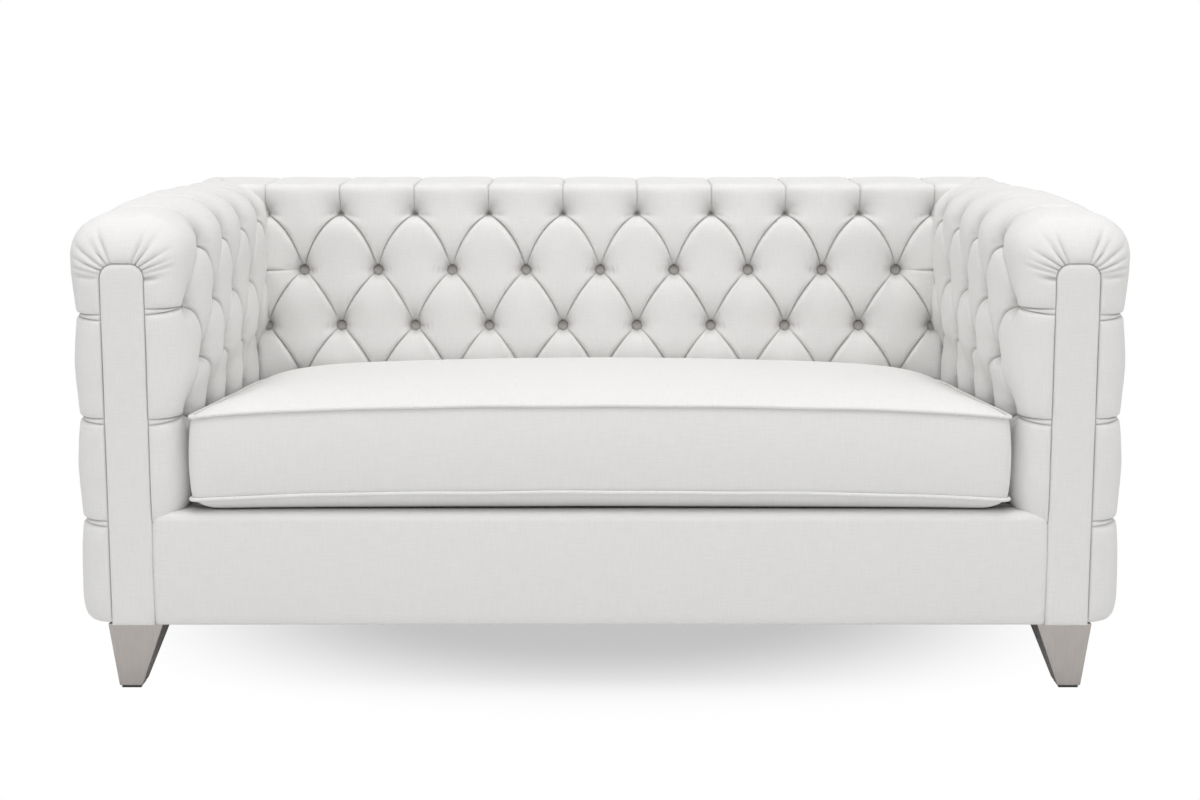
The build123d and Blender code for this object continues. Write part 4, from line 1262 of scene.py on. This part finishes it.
# Outside back: a flat board covered in the linen, which closes the frame behind. It is tacked
# along its edges, over the ends of the inside cover.
PANEL_HALF = 0.784
PANEL_FRONT = 0.405
PANEL_REAR = 0.420
PANEL_LOW = 0.109
PANEL_TOP = 0.684
PANEL_EDGE = 0.005
PANEL_EDGE_REACH = 0.005
PANEL_SINK = 0.0015
PANEL_SLACK = 0.0012
PANEL_COLUMNS = 65
PANEL_ROWS = 40
rings = []
for share in np.linspace(-1, 1, PANEL_COLUMNS):
    x = PANEL_HALF * math.sin(share * math.pi / 2)
    near_end = math.exp(-(PANEL_HALF - abs(x)) / PANEL_EDGE_REACH)
    profile = [(x, PANEL_FRONT, PANEL_TOP), (x, PANEL_FRONT, PANEL_LOW)]
    for step in np.linspace(-1, 1, PANEL_ROWS):
        z = (PANEL_LOW + PANEL_TOP) / 2 + (PANEL_TOP - PANEL_LOW) / 2 * math.sin(step * math.pi / 2)
        near_edge = math.exp(-min(z - PANEL_LOW, PANEL_TOP - z) / PANEL_EDGE_REACH)
        slack = PANEL_SLACK * math.sin(5 * x + 0.5) * math.sin(9 * z)
        profile.append((x, PANEL_REAR - PANEL_SINK + slack - PANEL_EDGE * max(near_end, near_edge), z))
    rings.append(profile)
outside_back = loft("outside_back", rings, linen)
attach(outside_back, "frame")
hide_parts("outside_back_panel")

# Legs: tapered square castings in satin nickel with softened edges, bolted to plates under the
# corners of the frame. They stand on black plastic glides.
LEG_MIDDLE = 0.720
LEG_TOP = 0.108
LEG_TOP_WIDTH = 0.086
LEG_FOOT_WIDTH = 0.034
LEG_OUTER_SLANT = 0.012
LEG_FRONT_SLANT = 0.010
LEG_FRONT = -0.4007
LEG_REAR = 0.4047
LEG_LOW = 0.004
LEG_BEVEL = 0.0018
leg_metal = metal_finish("leg_metal", (0.50, 0.468, 0.447), 0.36, 260.0, (1.0, 1.0, 0.08))


def leg_ring(z):
    """Four corners of the front right leg at a height."""
    taken = (LEG_TOP - z) / LEG_TOP
    outer = LEG_MIDDLE + LEG_TOP_WIDTH / 2 - LEG_OUTER_SLANT * taken
    width = LEG_TOP_WIDTH - (LEG_TOP_WIDTH - LEG_FOOT_WIDTH) * taken
    front = LEG_FRONT + LEG_FRONT_SLANT * taken
    return [(outer - width, front, z), (outer, front, z),
            (outer, front + width, z), (outer - width, front + width, z)]


for end in ("front", "rear"):
    for side, mark in ((1, "right"), (-1, "left")):
        rings = [[(side * x, y if end == "front" else LEG_REAR + LEG_FRONT - y, z)
                  for x, y, z in leg_ring(level)] for level in (LEG_LOW, LEG_TOP)]
        leg = loft(mark + "_" + end + "_leg_casting", rings, leg_metal)
        for face in leg.data.polygons:
            face.use_smooth = False
        soften = leg.modifiers.new("edges", "BEVEL")
        soften.width = LEG_BEVEL
        soften.segments = 3
        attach(leg, "frame")
        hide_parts(mark + "_" + end + "_leg")
glide_plastic = plain_cloth("glide_plastic", (0.03, 0.03, 0.032), 300.0, 0.5)
finish_nodes(glide_plastic, ["leg_glides"])

# Seat cushion: one bench cushion, a foam core in a boxed linen cover, blown up by a cloth
# simulation between its two seams, which the cords hold.
CUSHION_TILT = math.radians(3.0)
CUSHION_HALF = 0.6268
CUSHION_NEAR = 0.004
CUSHION_DEPTH = 0.54775
CUSHION_CORNER = 0.012
SEAM_LOW = 0.028
SEAM_HIGH = 0.158
HIGH_LIFTS = (0.009, -0.008)
HIGH_SAGS = (0.020, 0.028)
LOW_LIFT = 0.004
LOW_SAGS = (0.013, 0.010)
GRID_ACROSS = 104
GRID_DEEP = 46
BOXING_ROWS = 12
PRESSURE = 4.0
STIFFNESS = 12.0
BENDING = 1.5
BLOW_STEPS = 20
SWELL_CAP = 0.019
SIDE_CAP = 0.006
REAR_CAP = 0.0042
SAG_REACH = 0.19
BOTTOM_SIDE = 0.050
BOTTOM_FRONT = 0.024
PUFF = 0.018
PUFF_REACH = 0.021
CUSHION_CROWN = 0.004
BOXING_BULGE = 0.005
BOXING_FULLNESS = 0.7
REST_GAP = 0.0012
REAR_MARGIN = 0.002


def seat_frame(points):
    """Cushion places across, deep and above the deck, as points of the tilted seat."""
    across, deep, above = np.moveaxis(np.asarray(points, float), -1, 0)
    y = FACING_FRONT + deep * math.cos(CUSHION_TILT) + above * math.sin(CUSHION_TILT)
    z = DECK_FRONT - deep * math.sin(CUSHION_TILT) + above * math.cos(CUSHION_TILT)
    return np.stack([across, y, z], -1)


def panel_place(p, q):
    """Place on the panel for shares from -1 to 1, with round corners."""
    half, deep, corner = CUSHION_HALF, CUSHION_DEPTH / 2, CUSHION_CORNER
    x, y = p * half, q * deep
    a, b = (abs(x) - half + corner) / corner, (abs(y) - deep + corner) / corner
    if a > 0 and b > 0:
        x = math.copysign(half - corner + corner * a * math.sqrt(1 - b * b / 2), x)
        y = math.copysign(deep - corner + corner * b * math.sqrt(1 - a * a / 2), y)
    return x, CUSHION_NEAR + deep + y


def seam_height(upper, p, q):
    """Height of a seam, or of the sheet inside it, above the deck; the corners hang lower."""
    back = (q + 1) / 2
    sag = math.exp(-(1 - abs(p)) * CUSHION_HALF / SAG_REACH)
    if upper:
        lift = HIGH_LIFTS[0] * (1 - back) + HIGH_LIFTS[1] * back
        return SEAM_HIGH + lift - (HIGH_SAGS[0] * (1 - back) + HIGH_SAGS[1] * back) * sag
    return SEAM_LOW + LOW_LIFT * (1 - back) - (LOW_SAGS[0] * (1 - back) + LOW_SAGS[1] * back) * sag


# lower and upper panel, from seam to seam
across_share, deep_share = np.linspace(-1, 1, GRID_ACROSS + 1), np.linspace(-1, 1, GRID_DEEP + 1)
rim = [(i, 0) for i in range(GRID_ACROSS)] + [(GRID_ACROSS, j) for j in range(GRID_DEEP)]
rim += [(i, GRID_DEEP) for i in range(GRID_ACROSS, 0, -1)] + [(0, j) for j in range(GRID_DEEP, 0, -1)]
local, faces, cloth_map = [], [], []
panel_index = []
for upper in (False, True):
    index = {}
    for i, p in enumerate(across_share):
        for j, q in enumerate(deep_share):
            x, y = panel_place(p, q)
            index[i, j] = len(local)
            height = seam_height(upper, p, q)
            from_side, from_edge = (1 - abs(p)) * CUSHION_HALF, (1 - abs(q)) * CUSHION_DEPTH / 2
            if upper:
                puff = (1 - math.exp(-from_side / PUFF_REACH)) * (1 - math.exp(-from_edge / PUFF_REACH))
                height += PUFF * puff + CUSHION_CROWN * (1 - p * p) * (1 - q * q)
            else:
                inward = min(from_side / BOTTOM_SIDE, from_edge / BOTTOM_FRONT, 1.0)
                height -= (height - REST_GAP) * math.sqrt(1 - (1 - inward) ** 2)
            local.append((x, y, height))
    panel_index.append(index)
    for i in range(GRID_ACROSS):
        for j in range(GRID_DEEP):
            ring = [index[i, j], index[i + 1, j], index[i + 1, j + 1], index[i, j + 1]]
            if not upper:
                ring.reverse()
            faces.append(ring)
            cloth_map.append([(local[k][0], local[k][1]) for k in ring])

# boxing between the two seams, full in front and at the sides
rim_rows = [[panel_index[0][place] for place in rim]]
for row in range(1, BOXING_ROWS):
    share = row / BOXING_ROWS
    rim_rows.append([])
    for place in rim:
        low, high = np.array(local[panel_index[0][place]]), np.array(local[panel_index[1][place]])
        rim_rows[-1].append(len(local))
        x, y, z = low + (high - low) * share
        out = BOXING_BULGE * math.sin(math.pi * share) ** BOXING_FULLNESS
        side = abs(place[0] - GRID_ACROSS / 2) == GRID_ACROSS / 2
        x += math.copysign(out, x) * side
        y -= out * (place[1] == 0) * (1 - 0.5 * side)
        local.append((x, y, z))
rim_rows.append([panel_index[1][place] for place in rim])
rim_points = np.array([local[k] for k in rim_rows[0] + rim_rows[0][:1]])
walk = np.concatenate([[0], np.cumsum(np.linalg.norm(np.diff(rim_points, axis=0), axis=1))])
boxing_step = (SEAM_HIGH - SEAM_LOW) / BOXING_ROWS
for row in range(BOXING_ROWS):
    low, high = boxing_step * row, boxing_step * (row + 1)
    for step in range(len(rim)):
        following = (step + 1) % len(rim)
        faces.append([rim_rows[row][step], rim_rows[row][following],
                      rim_rows[row + 1][following], rim_rows[row + 1][step]])
        cloth_map.append([(walk[step], low), (walk[step + 1], low),
                          (walk[step + 1], high), (walk[step], high)])
start = seat_frame(local)
cushion_mesh = bpy.data.meshes.new("bench_cushion")
cushion_mesh.from_pydata(start.tolist(), [], faces)
cushion_mesh.uv_layers.new(name="cloth").data.foreach_set("uv", np.array(cloth_map).ravel())
cushion_mesh.shade_smooth()
cushion_mesh.materials.append(linen)
cushion = show("bench_cushion", cushion_mesh)

# blown up between the seams; each point's way is capped, and the lower panel rests on the deck
seams = cushion.vertex_groups.new(name="seams")
seams.add(rim_rows[0] + rim_rows[-1], 1.0, "REPLACE")
blow = cushion.modifiers.new("blow", "CLOTH")
blow.settings.use_pressure = True
blow.settings.uniform_pressure_force = PRESSURE
blow.settings.vertex_group_mass = "seams"
blow.settings.effector_weights.gravity = 0.0
blow.settings.quality = 6
blow.settings.tension_stiffness = STIFFNESS
blow.settings.compression_stiffness = STIFFNESS
blow.settings.bending_stiffness = BENDING
for step in range(1, BLOW_STEPS + 1):
    bpy.context.scene.frame_set(step)
view = bpy.context.evaluated_depsgraph_get()
blown = cushion.evaluated_get(view).to_mesh()
swollen = np.empty(len(blown.vertices) * 3)
blown.vertices.foreach_get("co", swollen)
swollen = swollen.reshape(-1, 3)
cushion.modifiers.remove(blow)
bpy.context.scene.frame_set(1)
moved = swollen - start
lower_sheet = sorted(panel_index[0].values())
moved[lower_sheet, 2] = np.minimum(moved[lower_sheet, 2], 0.0)
reach = np.linalg.norm(moved, axis=1)
side_rows = set(k for row in rim_rows[1:-1] for k in row)
rear_line = CUSHION_NEAR + CUSHION_DEPTH - REAR_MARGIN
cap = np.array([(REAR_CAP if local[k][1] > rear_line else SIDE_CAP) if k in side_rows else SWELL_CAP
                for k in range(len(local))])
moved *= (cap * np.tanh(reach / cap) / np.maximum(reach, 1e-9))[:, None]
final = start + moved
upright = np.array((0.0, math.sin(CUSHION_TILT), math.cos(CUSHION_TILT)))
above_deck = (final - (0.0, FACING_FRONT, DECK_FRONT)) @ upright
final += np.clip(REST_GAP - above_deck, 0, None)[:, None] * upright
cushion_mesh.vertices.foreach_set("co", final.ravel())
cushion_mesh.update()
finer = cushion.modifiers.new("finer", "SUBSURF")
finer.levels = finer.render_levels = 1
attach(cushion, "seat_cushion")
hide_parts("seat_cushion")

# Cushion cords: a cotton cord in a bias strip of the linen, sewn into the seams where the boxing
# meets the upper and the lower panel.
CORD_RADIUS = 0.0031
CORD_SIDES = 12
CORD_OUT = 0.0014
CORD_CORNER_STEPS = 10
CORD_STEP = 0.012
CORD_WAVE = 0.0006
cord_cloth = plain_cloth("cord_cloth", (0.77, 0.762, 0.75), 900.0, 0.92)
cord_tree, tree_in, tree_out = make_tree("lay_cord", (
    ("Radius", "Float"), ("Sides", "Int"), ("Cloth", "Material")))
nodes = cord_tree.nodes
to_curve = nodes.new("GeometryNodeMeshToCurve")
section = nodes.new("GeometryNodeCurvePrimitiveCircle")
sweep = nodes.new("GeometryNodeCurveToMesh")
smooth = nodes.new("GeometryNodeSetShadeSmooth")
real = nodes.new("GeometryNodeRealizeInstances")
paint = nodes.new("GeometryNodeSetMaterial")
wire(cord_tree,
     (tree_in, "Geometry", to_curve, "Mesh"),
     (tree_in, "Radius", section, "Radius"),
     (tree_in, "Sides", section, "Resolution"),
     (to_curve, "Curve", sweep, "Curve"),
     (section, "Curve", sweep, "Profile Curve"),
     (sweep, "Mesh", smooth, "Geometry"),
     (smooth, "Geometry", real, "Geometry"),
     (real, "Geometry", paint, "Geometry"),
     (tree_in, "Cloth", paint, "Material"),
     (paint, "Geometry", tree_out, "Geometry"))


def seam_ring(upper, out):
    """Closed path round the cushion at a seam, outside it by out."""
    half, deep, corner = CUSHION_HALF + out, CUSHION_DEPTH / 2 + out, CUSHION_CORNER + out
    middle = CUSHION_NEAR + CUSHION_DEPTH / 2
    points = []
    for quarter, (sx, sy) in enumerate(((1, 1), (-1, 1), (-1, -1), (1, -1))):
        for turn in np.linspace(0, math.pi / 2, CORD_CORNER_STEPS):
            angle = quarter * math.pi / 2 + turn
            points.append((sx * (half - corner) + corner * math.cos(angle),
                           middle + sy * (deep - corner) + corner * math.sin(angle)))
    points.append(points[0])
    path = []
    for first, second in zip(points[:-1], points[1:]):
        parts = max(1, int(math.dist(first, second) / CORD_STEP))
        for part in range(parts):
            share = part / parts
            x, y = (a + (b - a) * share for a, b in zip(first, second))
            p, q = np.clip((x / CUSHION_HALF, (y - middle) / (CUSHION_DEPTH / 2)), -1, 1)
            path.append((x, y, seam_height(upper, p, q)))
    return np.array(path)


for name in ("top", "bottom"):
    ring = seam_ring(name == "top", CORD_OUT)
    place = np.arange(len(ring))
    ring[:, 2] += CORD_WAVE * np.sin(place * 0.31) * np.sin(place * 0.083 + len(name))
    base = bpy.data.meshes.new(name + "_cord")
    base.from_pydata(seat_frame(ring).tolist(), [(k, (k + 1) % len(ring)) for k in range(len(ring))], [])
    cord = grow(base, cord_tree, {"Radius": CORD_RADIUS, "Sides": CORD_SIDES, "Cloth": cord_cloth},
                name + "_seam_cord")
    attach(cord, "seat_cushion")
    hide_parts("cushion_" + name + "_welt")

# Cushion zip: a coil zip on woven tape, sewn into the rear boxing, with a cast slider that runs
# along it. The CAD solids stay and get a finish.
finish_nodes(plain_cloth("zip_tape", (0.72, 0.71, 0.69), 900.0, 0.9), ["cushion_zip"])
finish_nodes(metal_finish("zip_metal", (0.62, 0.61, 0.6), 0.32, 300.0, (1.0, 1.0, 1.0)), ["zip_slider"])

# Camera: straight in front at about a metre's height, close, looking down a little. The lens
# is shifted so that the frame sits as in the photo, whose width in pixels gives the lens.
CAMERA_DISTANCE = 2.4465
CAMERA_HEIGHT = 0.9903
CAMERA_PITCH = 7.13
CAMERA_FOCAL = 1645.0
CAMERA_SHIFT = -0.12
PHOTO_WIDTH = 1200
SENSOR_WIDTH = 36.0
camera_data = bpy.data.cameras.new("camera")
camera_data.sensor_width = SENSOR_WIDTH
camera_data.lens = CAMERA_FOCAL / PHOTO_WIDTH * SENSOR_WIDTH
camera_data.shift_y = CAMERA_SHIFT
camera = show("camera", camera_data)
camera.location = (0.0, FACING_FRONT - CAMERA_DISTANCE, CAMERA_HEIGHT)
camera.rotation_euler = (math.radians(90 - CAMERA_PITCH), 0.0, 0.0)
bpy.context.scene.camera = camera

# Stage: a pale matt floor that keeps the shadow under the seat, with a painted glow for the
# camera, about half near the seat, which lightens that shadow, and full white further out; a white
# surround, and soft lamps above, in front and at both sides.
FLOOR_REACH = 30.0
SHADOW_SCALE = (1.05, 1.65, 1.0)
SHADOW_NEAR = 0.35
SHADOW_FAR = 0.94
FLOOR_GLOW = 0.53
SURROUND_LIGHT = 0.42
floor_mesh = bpy.data.meshes.new("floor")
floor_mesh.from_pydata([(-FLOOR_REACH, -FLOOR_REACH, 0), (FLOOR_REACH, -FLOOR_REACH, 0),
                        (FLOOR_REACH, FLOOR_REACH, 0), (-FLOOR_REACH, FLOOR_REACH, 0)], [], [(0, 1, 2, 3)])
floor = show("floor", floor_mesh)
floor_paint, nodes, links, shader = new_material("floor_paint")
set_inputs(shader, {"Base Color": (0.78, 0.78, 0.78, 1.0), "Roughness": 0.9, "Specular IOR Level": 0.0})
place = nodes.new("ShaderNodeTexCoord")
scale = nodes.new("ShaderNodeVectorMath")
scale.operation = "MULTIPLY"
scale.inputs[1].default_value = SHADOW_SCALE
away = nodes.new("ShaderNodeVectorMath")
away.operation = "LENGTH"
fade = nodes.new("ShaderNodeMapRange")
fade.interpolation_type = "SMOOTHSTEP"
set_inputs(fade, {"From Min": SHADOW_NEAR, "From Max": SHADOW_FAR, "To Min": FLOOR_GLOW})
path = nodes.new("ShaderNodeLightPath")
shown = nodes.new("ShaderNodeMath")
shown.operation = "MULTIPLY"
# painted light: the floor glows for camera rays, which lightens the seat's shadow on it
glow = nodes.new("ShaderNodeEmission")
mixed = nodes.new("ShaderNodeMixShader")
wire(floor_paint.node_tree,
     (place, "Object", scale, 0),
     (scale, "Vector", away, 0),
     (away, "Value", fade, "Value"),
     (path, "Is Camera Ray", shown, 0),
     (fade, "Result", shown, 1),
     (shown, "Value", mixed, "Fac"),
     (shader, "BSDF", mixed, 1),
     (glow, "Emission", mixed, 2),
     (mixed, "Shader", nodes["Material Output"], "Surface"))
floor_mesh.materials.append(floor_paint)

world = bpy.data.worlds.new("surround")
bpy.context.scene.world = world
world.use_nodes = True
nodes = world.node_tree.nodes
nodes.clear()
output = nodes.new("ShaderNodeOutputWorld")
blend = nodes.new("ShaderNodeMixShader")
soft = nodes.new("ShaderNodeBackground")
set_inputs(soft, {"Color": (1.0, 1.0, 1.0, 1.0), "Strength": SURROUND_LIGHT})
white = nodes.new("ShaderNodeBackground")
set_inputs(white, {"Color": (1.0, 1.0, 1.0, 1.0), "Strength": 1.0})
path = nodes.new("ShaderNodeLightPath")
seen = nodes.new("ShaderNodeMath")
seen.operation = "MAXIMUM"
seen_through = nodes.new("ShaderNodeMath")
seen_through.operation = "MAXIMUM"
wire(world.node_tree,
     (path, "Is Camera Ray", seen, 0),
     (path, "Is Glossy Ray", seen, 1),
     (seen, "Value", seen_through, 0),
     (path, "Is Transmission Ray", seen_through, 1),
     (seen_through, "Value", blend, "Fac"),
     (soft, "Background", blend, 1),
     (white, "Background", blend, 2),
     (blend, "Shader", output, "Surface"))


def lamp(name, place, aim, size, power):
    """Soft rectangular lamp at a place, turned to its aim."""
    data = bpy.data.lights.new(name, "AREA")
    data.shape = "RECTANGLE"
    data.size, data.size_y = size
    data.energy = power
    item = show(name, data)
    item.location = place
    item.rotation_euler = (Vector(aim) - Vector(place)).to_track_quat("-Z", "Y").to_euler()


lamp("top_lamp", (0.0, -0.9, 4.4), (0.0, 0.0, 0.4), (4.0, 3.0), 116.0)
lamp("front_lamp", (0.0, -4.6, 2.0), (0.0, 0.0, 0.5), (6.4, 2.5), 46.0)
lamp("left_lamp", (-4.2, -1.6, 1.9), (0.0, 0.0, 0.45), (2.5, 2.0), 22.0)
lamp("right_lamp", (4.2, -1.6, 1.9), (0.0, 0.0, 0.45), (2.5, 2.0), 22.0)
bpy.context.scene.view_settings.view_transform = "Standard"
